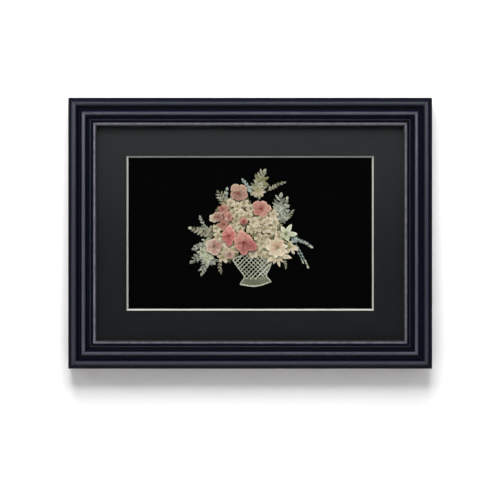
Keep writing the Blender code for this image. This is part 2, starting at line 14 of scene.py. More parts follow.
import bmesh
import bpy
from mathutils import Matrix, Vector


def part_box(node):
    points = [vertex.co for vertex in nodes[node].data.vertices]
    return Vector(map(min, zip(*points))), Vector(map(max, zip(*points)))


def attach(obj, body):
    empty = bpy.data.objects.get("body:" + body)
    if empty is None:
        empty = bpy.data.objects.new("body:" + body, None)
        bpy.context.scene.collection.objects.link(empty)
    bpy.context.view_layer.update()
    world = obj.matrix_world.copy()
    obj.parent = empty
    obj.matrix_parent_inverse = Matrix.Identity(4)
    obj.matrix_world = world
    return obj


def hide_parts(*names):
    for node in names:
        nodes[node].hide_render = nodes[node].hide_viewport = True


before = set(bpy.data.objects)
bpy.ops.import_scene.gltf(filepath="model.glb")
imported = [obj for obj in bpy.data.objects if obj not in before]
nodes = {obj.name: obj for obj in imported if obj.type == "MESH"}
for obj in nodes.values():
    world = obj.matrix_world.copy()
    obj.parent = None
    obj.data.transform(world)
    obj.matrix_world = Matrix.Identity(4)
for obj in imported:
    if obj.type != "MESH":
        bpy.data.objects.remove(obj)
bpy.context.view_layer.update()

print("solids loaded:", len(nodes))

# %% Where millimetres of the picture land in the frame
MM = 0.001
PICTURE_MIDDLE = -132.5
WALL_GAP = -2.7


def spot(x, z, depth):
    """A point x to the right of the picture's middle, z above it, and depth behind (+) the frame's back."""
    return Vector((x * MM, (depth + WALL_GAP) * MM, (z + PICTURE_MIDDLE) * MM))


low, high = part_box("rail_top")
top_edge = round(high.z / MM - PICTURE_MIDDLE, 1)
print("top rail spans", round((high.x - low.x) / MM, 1), "mm, top at", top_edge, "mm")

# %% [markdown]
# ## Shader maths that reads like arithmetic
#
# A procedural finish is a chain of nodes. Wiring every Math node by hand hides the idea behind it, so a small
# class wraps a socket and lets `1 - mask` or `grain * 0.3` add the node for us. Colours must not pass through
# a Math node, which would turn them grey, so they are blended by a Mix node instead. One method makes every
# other node: its settings come first, then the values or links of its sockets.

# %% A socket that can be reckoned with
class Wire:
    """An output socket of a finish. Arithmetic on it adds Math nodes."""

    def __init__(self, finish, node, output):
        self.finish = finish
        self.node = node
        self.socket = node.outputs[output]

    def other(self, output):
        return Wire(self.finish, self.node, output)

    def math(self, operation, *values):
        return self.finish.add("ShaderNodeMath", {"operation": operation}, dict(enumerate(values)))

    def __add__(self, value):
        return self.math("ADD", self, value)

    def __radd__(self, value):
        return self.math("ADD", value, self)

    def __sub__(self, value):
        return self.math("SUBTRACT", self, value)

    def __rsub__(self, value):
        return self.math("SUBTRACT", value, self)

    def __mul__(self, value):
        return self.math("MULTIPLY", self, value)

    def __pow__(self, value):
        return self.math("POWER", self, value)

    def __abs__(self):
        return self.math("ABSOLUTE", self)

    def wave(self):
        return self.math("SINE", self)

    def greater(self, value):
        return self.math("MAXIMUM", self, value)

    def step(self, start, end):
        """0 below start, 1 above end, and a soft rise between. A start above the end turns it over."""
        settings = {"interpolation_type": "SMOOTHSTEP"}
        sockets = {"Value": self, "From Min": start, "From Max": end}
        if start > end:
            sockets = {"Value": self, "From Min": end, "From Max": start, "To Min": 1.0, "To Max": 0.0}
        return self.finish.add("ShaderNodeMapRange", settings, sockets)


# %% A finish, and the nodes that most of them share
COLOUR_MIX = {"data_type": "RGBA", "blend_type": "MIX", "clamp_factor": True}


def tint(red, green, blue):
    """A colour as a picture editor names it, 0 to 255, turned into the light it stands for."""
    shares = [channel / 255 for channel in (red, green, blue)]
    light = [share / 12.92 if share <= 0.04 else ((share + 0.055) / 1.055) ** 2.4 for share in shares]
    return (*light, 1.0)


class Finish:
    """A material in the making."""

    def __init__(self, name):
        self.material = bpy.data.materials.new(name)
        self.material.use_nodes = True
        self.tree = self.material.node_tree
        self.tree.nodes.clear()
        self.end = self.tree.nodes.new("ShaderNodeOutputMaterial")

    def add(self, kind, settings=None, sockets=None, output=0):
        node = self.tree.nodes.new(kind)
        for name, value in (settings or {}).items():
            setattr(node, name, value)
        for name, value in (sockets or {}).items():
            if isinstance(value, Wire):
                self.tree.links.new(value.socket, node.inputs[name])
            else:
                node.inputs[name].default_value = value
        return Wire(self, node, output)

    def blend(self, share, one, other):
        """One colour where share is 0, the other where it is 1."""
        return self.add("ShaderNodeMix", COLOUR_MIX, {0: share, 6: one, 7: other}, output=2)

    def layers(self, colour, *layers):
        """Colours laid over one another, each as (share, colour)."""
        for share, other in layers:
            colour = self.blend(share, colour, other)
        return colour

    def place(self):
        """Where a point is, in metres, which stays with the piece."""
        return self.add("ShaderNodeTexCoord", output="Object")

    def noise(self, scale, detail=3.0, roughness=0.55, distortion=0.0, where=None):
        sockets = {"Scale": scale, "Detail": detail, "Roughness": roughness, "Distortion": distortion}
        return self.add("ShaderNodeTexNoise", None, {"Vector": where or self.place(), **sockets})

    def stretch(self, where, across, deep, up):
        """The same place, scaled on each axis, to draw a grain out along one of them."""
        return self.add("ShaderNodeVectorMath", {"operation": "MULTIPLY"}, {0: where, 1: (across, deep, up)})

    def parts(self, where):
        split = self.add("ShaderNodeSeparateXYZ", None, {0: where})
        return split, split.other(1), split.other(2)

    def mark(self, name):
        """A number that the mesh carries at each of its points."""
        return self.add("ShaderNodeAttribute", {"attribute_name": name}, output="Fac")

    def relief(self, height, distance, strength=1.0):
        sockets = {"Height": height, "Distance": distance, "Strength": strength}
        return self.add("ShaderNodeBump", None, sockets)

    def surface(self, **sockets):
        """The Principled shader that ends the finish. Underscores in the names stand for spaces."""
        named = {name.replace("_", " "): value for name, value in sockets.items()}
        shader = self.add("ShaderNodeBsdfPrincipled", None, named)
        self.tree.links.new(shader.socket, self.end.inputs["Surface"])
        return self.material


print("shader helpers ready")

# %% [markdown]
# ## The camera
#
# The photograph is a straight front view with no visible perspective, as a long lens gives it. A 150 mm lens
# is set so far back that the width of the image covers 550 mm at the frame. The object sits a little above
# the middle of the image, so the camera looks at a point below the frame's middle, and needs no shift.

# %% Camera
LENS = 150
SENSOR = 36
VIEW_WIDTH = 550 * MM
LOOK_AT = (-0.2, -18.5, -15)
FAR_END = 50

camera_data = bpy.data.cameras.new("camera")
camera_data.lens = LENS
camera_data.sensor_width = SENSOR
camera = bpy.data.objects.new("camera", camera_data)
bpy.context.scene.collection.objects.link(camera)
camera.location = spot(*LOOK_AT) - Vector((0, VIEW_WIDTH * LENS / SENSOR, 0))
camera.rotation_euler = (pi / 2, 0, 0)
camera_data.clip_end = FAR_END
bpy.context.scene.camera = camera
print("camera stands", round(-camera.location.y, 2), "m in front")

# %% [markdown]
# ## Wall, floor and soft light
#
# The picture hangs on a white wall and throws one soft shadow below itself. A large overhead softbox a little
# to the left makes that shadow: the higher it stands the longer the shadow, and the larger it is the softer
# the shadow's edge. The wall is one-sided, so that the back of the frame can be seen from behind: where the
# ray meets its back face the wall lets it through, and it never stands between the frame and a lamp. A sheet
# with a real thickness would hide the back and leave it dark.
#
# Tall and wide strip lights draw the thin highlights on the rounds of the moulding. Light linking keeps them
# to the moulding alone, so that the glass doesn't mirror them from any side. The softbox and the other fills
# are left out of reflections. Two lamps behind the wall light the back of the frame and the floor there.

# %% Wall and floor
WALL_SIZE = 6.0
FLOOR_LEVEL = -1.2
WALL_FRONT = 0.0006
WALL_PAINT = (0.89, 0.89, 0.895, 1)
FLOOR_PAINT = (0.8, 0.8, 0.8, 1)
PAINT_CLOUD = (0.92, 0.92, 0.93, 1)


def stage_sheet(name, corners, colour):
    mesh = bpy.data.meshes.new(name)
    mesh.from_pydata(corners, [], [(0, 1, 2, 3)])
    sheet = bpy.data.objects.new(name, mesh)
    bpy.context.scene.collection.objects.link(sheet)
    paint = Finish(name)
    mottle = paint.noise(3.0, detail=2.0)
    paint.surface(Base_Color=paint.blend(mottle * 0.06, colour, PAINT_CLOUD), Roughness=0.9)
    mesh.materials.append(paint.material)
    return paint


half_wall = WALL_SIZE / 2
SQUARE = ((-half_wall, 0), (half_wall, 0), (half_wall, 1), (-half_wall, 1))
wall_corners = [(x, WALL_FRONT, half_wall if up else FLOOR_LEVEL) for x, up in SQUARE]
floor_corners = [(x, half_wall if up else -half_wall, FLOOR_LEVEL) for x, up in SQUARE]
wall = stage_sheet("wall", wall_corners, WALL_PAINT)
behind = wall.add("ShaderNodeNewGeometry", output="Backfacing")
solid_paint = Wire(wall, wall.end.inputs["Surface"].links[0].from_node, 0)
clear = wall.add("ShaderNodeBsdfTransparent")
seeking_lamp = wall.add("ShaderNodeLightPath", output="Is Shadow Ray")
sided = wall.add("ShaderNodeMixShader", None, {0: behind.greater(seeking_lamp), 1: solid_paint, 2: clear})
wall.tree.links.new(sided.socket, wall.end.inputs["Surface"])
stage_sheet("floor", floor_corners, FLOOR_PAINT)
print("stage: wall and floor")

# %% Lights
LIGHT_AIM_DEPTH = -12
LIGHTS = (
    # name, distance in m, azimuth in degrees from the left (-) to the right, elevation in degrees,
    # width and height in m, watts, use
    ("overhead_softbox", 1.30, -5, 53, 1.10, 0.80, 36, "light"),
    ("left_strip", 1.45, -42, 3, 0.26, 1.5, 8.5, "gleam"),
    ("right_strip", 1.45, 20, 3, 0.08, 1.4, 1.5, "gleam"),
    ("upper_strip", 1.50, 0, 12, 1.3, 0.10, 10.0, "gleam"),
    ("lower_strip", 1.50, 0, -13, 1.3, 0.09, 3.8, "gleam"),
    ("left_fill", 2.2, -58, 12, 1.2, 1.4, 11.0, "light"),
    ("right_fill", 2.2, 58, 12, 1.2, 1.4, 12.5, "light"),
    ("back_fill", 2.4, 160, 25, 1.6, 1.2, 26, "both"),
    ("back_floor_light", 3.2, 180, 62, 2.6, 2.6, 60, "light"),
)
aim = spot(0, 0, LIGHT_AIM_DEPTH)
gleaming = bpy.data.collections.new("pieces_that_gleam")
for name, distance, azimuth, elevation, width, height, watts, use in LIGHTS:
    light = bpy.data.lights.new(name, "AREA")
    light.shape = "RECTANGLE"
    light.size = width
    light.size_y = height
    light.energy = watts
    lamp = bpy.data.objects.new(name, light)
    bpy.context.scene.collection.objects.link(lamp)
    turn, rise = radians(azimuth), radians(elevation)
    away = Vector((sin(turn) * cos(rise), -cos(turn) * cos(rise), sin(rise)))
    lamp.location = aim + away * distance
    lamp.rotation_euler = (-away).to_track_quat("-Z", "Y").to_euler()
    lamp.visible_glossy = use != "light"
    if use == "gleam":
        lamp.light_linking.receiver_collection = gleaming
print("lights:", ", ".join(entry[0] for entry in LIGHTS))

# %% World
SKY_SEEN = (1, 1, 1, 1)
SKY_MIRRORED = (0.010, 0.011, 0.016, 1)
world = bpy.data.worlds.new("studio")
bpy.context.scene.world = world
world.use_nodes = True
sky = world.node_tree
sky.nodes.clear()
choose = sky.nodes.new("ShaderNodeMixShader")
for number, colour in enumerate((SKY_MIRRORED, SKY_SEEN), 1):
    light = sky.nodes.new("ShaderNodeBackground")
    light.inputs["Color"].default_value = colour
    sky.links.new(light.outputs[0], choose.inputs[number])
sky.links.new(sky.nodes.new("ShaderNodeLightPath").outputs["Is Camera Ray"], choose.inputs[0])
sky.links.new(choose.outputs[0], sky.nodes.new("ShaderNodeOutputWorld").inputs["Surface"])
bpy.context.scene.view_settings.view_transform = "Standard"
print("world: white to the camera, nearly dark to the glass")

# %% [markdown]
# ## A helper that turns points and faces into a piece
#
# Most pieces here are swept or laid out point by point, so a plain mesh is the shortest way to them. Every
# piece rides on the part's one body, replaces the solid whose form it takes, and carries the finishes it
# wears.

# %% Make a piece
def make_piece(name, points, faces, finishes, replaced=(), face_finishes=None, marks=None):
    mesh = bpy.data.meshes.new(name)
    mesh.from_pydata(points, [], faces)
    for finish in finishes:
        mesh.materials.append(finish)
    if face_finishes:
        mesh.polygons.foreach_set("material_index", face_finishes)
    for mark, values in (marks or {}).items():
        mesh.attributes.new(mark, "FLOAT", "POINT").data.foreach_set("value", values)
    mesh.shade_smooth()
    piece = bpy.data.objects.new(name, mesh)
    bpy.context.scene.collection.objects.link(piece)
    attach(piece, "root")
    if replaced:
        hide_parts(*replaced)
    return piece


# %% [markdown]
# ## Black lacquer and antique pewter
#
# The moulding is wood under several coats of black lacquer with a trace of navy in it. A Principled shader
# with a dark base and a clear coat gives the deep colour and the crisp highlight together. The coat is
# rubbed to a gloss on the crests only. Its base colour is painted: a painted shade leaves the grooves near
# black, and a painted light makes the crests a lighter navy. Very faint streaks along the stick, and a slight
# wear on the crests, keep it from looking like plastic. The lip is pewter leaf: a grey metal with a mauve
# cast, darkened where polish collects in the hollows.

# %% Lacquer
OUTER_WIDTH = 400.0
OUTER_HEIGHT = 298.0


def lacquer_finish():
    coat = Finish("black_lacquer")
    place = coat.place()
    grain = coat.noise(1.0, detail=4.0, where=coat.stretch(place, 140, 900, 140))
    cloud = coat.noise(26.0, detail=3.0)
    crest = coat.mark("crest")
    rubbed = (cloud - 0.45).step(0.0, 0.35) * crest.step(0.82, 1.0) * 0.35
    # painted shade and painted light: the base is near black in the grooves and a lighter navy on the crests
    base = coat.blend(crest.step(0.6, 1.0), (0.0005, 0.0009, 0.0034, 1), (0.005, 0.0068, 0.0135, 1))
    worn = coat.blend(rubbed, base, (0.035, 0.037, 0.055, 1))
    bump = coat.relief(grain * 0.5 + cloud * 0.5, 0.00012, 0.25)
    return coat.surface(
        Base_Color=worn, Roughness=0.5 + grain * 0.12 + rubbed * 0.2, Normal=bump,
        Coat_Weight=crest.step(0.68, 1.0) * 0.98 + 0.01, Coat_Roughness=0.33, Coat_Tint=(0.8, 0.84, 1.0, 1),
        Specular_IOR_Level=0.05,
    )


lacquer = lacquer_finish()
print("made", lacquer.name)

# %% Pewter and bare wood
def pewter_finish():
    leaf = Finish("pewter_lip")
    crest, inner = leaf.mark("crest"), leaf.mark("inner")
    cloud = leaf.noise(160.0, detail=5.0, roughness=0.65)
    speck = leaf.noise(1400.0, detail=2.0)
    hollow = (1 - crest).step(0.3, 0.95)
    aged = leaf.layers(
        tint(72, 71, 81),
        (cloud.step(0.3, 0.7), tint(101, 99, 111)),
        (inner.step(0.45, 0.8) * 0.85, tint(46, 48, 40)),
        (hollow * 0.85, tint(26, 26, 26)),
    )
    bump = leaf.relief(cloud * 0.6 + speck * 0.4, 0.0002, 0.4)
    return leaf.surface(
        Base_Color=aged, Metallic=0.7 - hollow * 0.5, Roughness=0.42 + cloud * 0.16 + hollow * 0.2,
        Normal=bump, Specular_IOR_Level=0.3,
    )


def wood_finish():
    wood = Finish("raw_wood")
    place = wood.place()
    x, _, z = wood.parts(place)
    # the mitres lie where a point is 51 mm further to the side than up or down
    upright = (abs(x) * 1000 - abs(z * 1000 - PICTURE_MIDDLE)).step(45.0, 56.0)
    lying_grain = wood.noise(1.0, detail=5.0, distortion=0.4, where=wood.stretch(place, 14, 300, 420))
    standing_grain = wood.noise(1.0, detail=5.0, distortion=0.4, where=wood.stretch(place, 420, 300, 14))
    grain = lying_grain * (1 - upright) + standing_grain * upright
    spilled = wood.noise(60.0, detail=4.0).step(0.56, 0.66)
    raw = wood.blend(grain.step(0.3, 0.7), tint(176, 140, 98), tint(128, 94, 60))
    colour = wood.blend(spilled * 0.55, raw, tint(28, 26, 26))
    return wood.surface(Base_Color=colour, Roughness=0.72, Normal=wood.relief(grain, 0.0004, 0.5))


pewter = pewter_finish()
raw_wood = wood_finish()
print("made", pewter.name, "and", raw_wood.name)

# %% [markdown]
# ## The moulding
#
# A frame maker cuts four lengths from one stick of moulding, with a 45 degree mitre at each end. So one
# section is drawn once, as rounds between small quirks, and stretched between two mitred ends for each rail.
# Bevelling a box could not give these rounds. Each point of the section also keeps how high it stands on its
# round, so that the finishes can find the crests and the hollows.

# %% Section of the stick
SIDE_DEPTH = 17.0
BACK_CHAMFER = 0.3
EDGE_ROUNDING = ((0.0, SIDE_DEPTH - 0.3, 0.3), (0.15, SIDE_DEPTH, 0.4))
MITRE_GAP = 0.12
ROUNDS = (
    # start and end across the stick, height of the outer and inner foot and of the crest, points,
    # how polished the crest is
    (0.6, 11.6, 17.0, 18.2, 22.0, 26, 0.85),
    (13.4, 20.8, 18.0, 16.0, 20.4, 22, 1.0),
    (22.6, 26.0, 15.6, 15.0, 17.6, 14, 0.8),
    (27.0, 31.0, 14.6, 13.8, 16.0, 16, 1.0),
)
LIP_START = 26.6
RAIL_WIDTH = 31.0
REBATE_EDGE = 25.0
REBATE_DEPTH = 12.0


def moulding_section():
    """Points as (across, height, how near the crest), from the wall side round the face to the rebate."""
    section = [(0.0, BACK_CHAMFER, 0.0), *EDGE_ROUNDING]
    for start, end, outer, inner, crest, steps, polish in ROUNDS:
        for step in range(steps + 1):
            turn = pi * step / steps
            across = start + (end - start) * (1 - cos(turn)) / 2
            foot = outer + (inner - outer) * (across - start) / (end - start)
            section.append((across, foot + (crest - foot) * sin(turn), polish * sin(turn)))
    face_end = len(section) - 1
    back = ((RAIL_WIDTH, REBATE_DEPTH), (REBATE_EDGE, REBATE_DEPTH), (REBATE_EDGE, 0.0), (BACK_CHAMFER, 0.0))
    section += [(across, height, 0.0) for across, height in back]
    return section, face_end


section, face_end = moulding_section()
print("section points:", len(section))

# %% Four mitred rails
RAILS = {
    # the way along the rail and the way in from its outer edge, as (x, z)
    "rail_top": ((1, 0), (0, -1), OUTER_WIDTH, OUTER_HEIGHT),
    "rail_right": ((0, -1), (-1, 0), OUTER_HEIGHT, OUTER_WIDTH),
    "rail_bottom": ((-1, 0), (0, 1), OUTER_WIDTH, OUTER_HEIGHT),
    "rail_left": ((0, 1), (1, 0), OUTER_HEIGHT, OUTER_WIDTH),
}
RAIL_BAYS = 24
SHARP_ANGLE = 38
LACQUERED, LEAFED, BARE = range(3)


def rail_point(rail, along, across, height):
    forward, inward, length, other_side = RAILS[rail]
    x = forward[0] * along - inward[0] * (other_side / 2 - across)
    z = forward[1] * along - inward[1] * (other_side / 2 - across)
    return spot(x, z, -height)


def make_rail(rail):
    length = RAILS[rail][2]
    points, faces, finishes, crests, inners = [], [], [], [], []
    for bay in range(RAIL_BAYS + 1):
        share = 2 * bay / RAIL_BAYS - 1
        for across, height, crest in section:
            reach = length / 2 - MITRE_GAP - across
            points.append(rail_point(rail, share * reach, across, height))
            crests.append(crest)
            inners.append(max(0.0, across - LIP_START) / (RAIL_WIDTH - LIP_START))
    count = len(section)
    for bay in range(RAIL_BAYS):
        for number in range(count):
            near, after = bay * count, (number + 1) % count
            faces.append([near + number, near + after, near + count + after, near + count + number])
            if face_end < number < count - 1:
                finishes.append(BARE)
            else:
                finishes.append(LEAFED if section[number][0] >= LIP_START else LACQUERED)
    last = RAIL_BAYS * count
    faces += [list(range(count))[::-1], [last + number for number in range(count)]]
    finishes += [BARE, BARE]
    piece = make_piece(
        rail + "_moulding", points, faces, [lacquer, pewter, raw_wood], [rail],
        face_finishes=finishes, marks={"crest": crests, "inner": inners},
    )
    piece.data.set_sharp_from_angle(angle=radians(SHARP_ANGLE))
    gleaming.objects.link(piece)
    return piece


for rail in RAILS:
    piece = make_rail(rail)
    shape = bmesh.new()
    shape.from_mesh(piece.data)
    bmesh.ops.recalc_face_normals(shape, faces=shape.faces)
    shape.to_mesh(piece.data)
    shape.free()
print("rails:", ", ".join(RAILS))

# %% [markdown]
# ## Beading on the lip
#
# A row of small beads and longer berries runs along the outer slope of the pewter lip. It is too fine to show
# more than a dotted line at this distance, but it catches the light up close. Each bead is a small dome swept
# round a half circle, and all beads of a rail are one mesh.

# %% Beads
BEAD_PITCH = 4.9
BEAD_ACROSS = 27.9
BEAD_HEIGHT = 15.55
BEAD_SIZES = ((0.0, 1.55, 0.62), (2.45, 0.5, 0.5))
BEAD_MITRE_GAP = 3.0
RINGS = 4
SIDES = 10


def dome(points, faces, crests, rail, along, half_long, half_wide):
    first = len(points)
    points.append(rail_point(rail, along, BEAD_ACROSS, BEAD_HEIGHT + half_wide))
    crests.append(1.0)
    for ring in range(1, RINGS + 1):
        fall = pi / 2 * ring / RINGS
        for side in range(SIDES):
            turn = 2 * pi * side / SIDES
            position = along + half_long * sin(fall) * cos(turn)
            across = BEAD_ACROSS + half_wide * sin(fall) * sin(turn)
            points.append(rail_point(rail, position, across, BEAD_HEIGHT + half_wide * cos(fall)))
            crests.append(cos(fall) ** 0.5)
    for side in range(SIDES):
        after = (side + 1) % SIDES
        faces.append((first, first + 1 + side, first + 1 + after))
        for ring in range(RINGS - 1):
            inner, outer = first + 1 + ring * SIDES, first + 1 + (ring + 1) * SIDES
            faces.append((inner + side, outer + side, outer + after, inner + after))


bead_count = 0
for rail in RAILS:
    points, faces, crests = [], [], []
    reach = RAILS[rail][2] / 2 - BEAD_ACROSS - BEAD_MITRE_GAP
    number = int(reach // BEAD_PITCH)
    for step in range(-number, number + 1):
        for shift, half_long, half_wide in BEAD_SIZES:
            if abs(step * BEAD_PITCH + shift) < reach:
                dome(points, faces, crests, rail, step * BEAD_PITCH + shift, half_long, half_wide)
                bead_count += 1
    marks = {"crest": crests, "inner": [0.2] * len(crests)}
    gleaming.objects.link(make_piece(rail + "_beading", points, faces, [pewter], marks=marks))
print("beads:", bead_count)

# %% [markdown]
# ## Glass
#
# Picture glass is thin and clear, and only its faint mirror image of the room tells that it is there. True
# refraction would darken the flowers with its shadow, so the pane lets light straight through and adds a
# reflection that grows towards grazing angles. The Fresnel node would turn the pane's inner face into a
# mirror beyond 49 degrees, because it takes the light to be inside the glass there. So the growth is worked
# out from how far the face turns away, by the usual fifth power.

# %% Glazing
pane = Finish("clear_picture_glass")
HEAD_ON_MIRROR = 0.02
GRAZING_MIRROR = 0.98
turned_away = pane.add("ShaderNodeLayerWeight", None, {"Blend": 0.5}, "Facing")
reflected = turned_away**5 * GRAZING_MIRROR + HEAD_ON_MIRROR
through = pane.add("ShaderNodeBsdfTransparent", None, {"Color": (0.985, 0.995, 0.99, 1)})
mirror = pane.add("ShaderNodeBsdfAnisotropic", None, {"Color": (1, 1, 1, 1), "Roughness": 0.02})
glass = pane.add("ShaderNodeMixShader", None, {0: reflected, 1: through, 2: mirror})
pane.tree.links.new(glass.socket, pane.end.inputs["Surface"])


def dress(node, finish):
    """Gives a solid that stays a finish of its own."""
    data = nodes[node].data
    data.materials.clear()
    data.materials.append(finish)


dress("glazing", pane.material)
print("glass dressed")

# %% [markdown]
# ## The boards
#
# The mat is thick charcoal board with a pale core, which the slanted cut round the window shows as a fine
# white line. The solid has that bevel already, so one finish paints the board by position: pale inside the
# line where the slope begins and on the outer rim, charcoal between them, with the fine fibre speckle of mat
# board. Behind it lies a velvety black board, which must stay almost black under the same light that shows
# the flowers.

# %% Mat board
BEVEL_WIDTH = 1.75
WINDOW_HALF_WIDTH = 134.5 + BEVEL_WIDTH
WINDOW_HALF_HEIGHT = 83.5 + BEVEL_WIDTH
BOARD_HALF_WIDTH = 173.9
BOARD_HALF_HEIGHT = 122.9


def mat_finish():
    mat = Finish("charcoal_mat")
    x, _, z = mat.parts(mat.place())
    from_side = abs(x) * 1000
    from_middle = z * 1000 - PICTURE_MIDDLE
    outside = (from_side - WINDOW_HALF_WIDTH).greater(abs(from_middle) - WINDOW_HALF_HEIGHT)
    core = outside.step(0.0, -0.04)
    rim = (from_side - BOARD_HALF_WIDTH).greater(abs(from_middle) - BOARD_HALF_HEIGHT).step(-0.05, 0.0)
    fibre = mat.noise(2600.0, detail=3.0, roughness=0.7)
    cloud = mat.noise(28.0, detail=4.0)
    # painted light: the charcoal is painted lighter towards the top, as if lit from above
    painted_top_light = from_middle.step(-60.0, 130.0)
    paper = mat.layers(
        tint(19, 20, 21),
        (fibre.step(0.35, 0.75), tint(33, 35, 36)),
        (painted_top_light * 0.5, tint(48, 50, 50)),
        (cloud * 0.25, tint(36, 37, 39)),
    )
    pale = mat.blend(fibre, tint(172, 170, 164), tint(190, 188, 181))
    return mat.surface(
        Base_Color=mat.blend(core.greater(rim), paper, pale), Roughness=0.94, Specular_IOR_Level=0.2,
        Normal=mat.relief(fibre, 0.00008, 0.3),
    )


dress("mat_board", mat_finish())

# %% Mount board and hardboard back
def velvet_finish():
    velvet = Finish("black_velvet_board")
    nap = velvet.noise(1800.0, detail=3.0)
    cloud = velvet.noise(18.0, detail=3.0)
    colour = velvet.blend(nap * 0.6 + cloud * 0.4, (0.0004, 0.0004, 0.0004, 1), (0.0013, 0.0013, 0.0011, 1))
    return velvet.surface(
        Base_Color=colour, Roughness=1.0, Specular_IOR_Level=0.02, Normal=velvet.relief(nap, 0.00008, 0.2)
    )


def hardboard_finish():
    back = Finish("hardboard")
    fibre = back.noise(900.0, detail=6.0, roughness=0.75)
    fleck = back.noise(340.0, detail=2.0).step(0.62, 0.7)
    cloud = back.noise(9.0, detail=3.0)
    brown = back.layers(
        tint(108, 72, 46),
        (fibre.step(0.3, 0.7), tint(142, 100, 66)),
        (cloud * 0.4, tint(120, 86, 58)),
        (fleck * 0.6, tint(84, 54, 34)),
    )
    return back.surface(
        Base_Color=brown, Roughness=0.62 + fibre * 0.2, Normal=back.relief(fibre + fleck * 0.5, 0.0003, 0.5)
    )


dress("mount_board", velvet_finish())
dress("backing_board", hardboard_finish())
print("mat, mount board and backing dressed")

# %% [markdown]
# ## Steel and zinc on the back
#
# The flat points that hold the backing are bright stamped steel with rolling streaks. The sawtooth hanger and
# its nails are zinc-plated, whose crystals show as faint patches of different grey. Both are bare metal, so
# most of the look is in how the roughness varies.

# %% Metal finishes
def metal_finish(name, dark, light, streak, crystal):
    metal = Finish(name)
    place = metal.place()
    rolled = metal.noise(1.0, detail=4.0, where=metal.stretch(place, *streak))
    sockets = {"Vector": place, "Scale": crystal}
    patches = metal.add("ShaderNodeTexVoronoi", {"feature": "F1"}, sockets, "Color")
    patch = metal.add("ShaderNodeSeparateColor", None, {0: patches})
    dirt = metal.noise(500.0, detail=4.0).step(0.6, 0.75)
    colour = metal.blend(rolled * 0.5 + patch * 0.5, dark, light)
    return metal.surface(
        Base_Color=metal.blend(dirt * 0.4, colour, tint(86, 80, 70)), Metallic=1.0 - dirt * 0.4,
        Roughness=0.26 + rolled * 0.2 + patch * 0.1 + dirt * 0.2, Normal=metal.relief(rolled, 0.00005, 0.5),
    )


steel = metal_finish("point_steel", tint(150, 150, 152), tint(206, 206, 208), (2500, 200, 200), 300.0)
zinc = metal_finish("zinc_plate", tint(160, 158, 148), tint(204, 202, 190), (260, 200, 2200), 420.0)
for number in range(1, 9):
    dress(f"framers_point_{number}", steel)
for node in ("sawtooth_hanger", "hanger_nail_left", "hanger_nail_right"):
    dress(node, zinc)
print("points, hanger and nails dressed")

# %% [markdown]
# # The bouquet
#
# Pressed petals are thinner than paper, but never quite flat: they ripple, their edges turn up, and one lies
# over the next. So every petal and leaflet is its own little grid, bent by a formula. A grid keeps three
# numbers at each point: how far along the petal it lies, how far across, and how pale the petal is. The
# finishes use them to draw the throat, the veins and the edge. The modelled solids lie on six thin layers
# under the glass, and each specimen stays on its own layer here.

# %% Layers and sheets
LAYER_BACK = -6.525
LAYER_PITCH = 0.55
PETAL_THICK = 0.07
SEED = 11
dice = random.Random(SEED)


class Pressing:
    """Gathers the sheets of one specimen and makes one thin, two-sided mesh of them."""

    def __init__(self, layer, middle=(0.0, 0.0)):
        self.depth = LAYER_BACK - (layer - 1) * LAYER_PITCH
        self.middle = middle
        self.points = []
        self.faces = []
        self.finishes = []
        self.marks = {"along": [], "across": [], "tone": []}

    def sheet(self, rows, columns, place, tone=0.5, finish=0):
        """A grid. place(u, v) gives (x, z, rise) in mm, u from 0 to 1 along it and v from -1 to 1 across."""
        first = len(self.points)
        for row in range(rows + 1):
            for column in range(columns + 1):
                u, v = row / rows, 2 * column / columns - 1
                x, z, rise = place(u, v)
                self.points.append(spot(self.middle[0] + x, self.middle[1] + z, self.depth - rise))
                for mark, value in zip(("along", "across", "tone"), (u, v, tone)):
                    self.marks[mark].append(value)
        for row in range(rows):
            for column in range(columns):
                corner = first + row * (columns + 1) + column
                self.faces.append((corner, corner + columns + 1, corner + columns + 2, corner + 1))
                self.finishes.append(finish)

    def make(self, name, finishes, slot, *replaced):
        piece = make_piece(
            name, self.points, self.faces, finishes, replaced, self.finishes, self.marks
        )
        skin = piece.modifiers.new("thickness", "SOLIDIFY")
        skin.thickness = PETAL_THICK * MM
        skin.offset = -1
        return piece


def way_at(angle):
    return Vector((cos(angle), sin(angle)))


def aside(point, way, distance):
    """A point moved to the left of its way."""
    return point.x - way.y * distance, point.y + way.x * distance


print("layers at", [round(LAYER_BACK - layer * LAYER_PITCH, 2) for layer in range(6)], "mm")

# %% [markdown]
# ## What dried petals look like
#
# Drying leaves the veins a shade darker and the edge a shade paler, gives the throat its own colour, and
# breaks the even tint into small blotches. Each of these is a mask between 0 and 1, and the colours are
# blended through them one after the other.

# %% Petal finish
PETAL_VEINS = 5.0


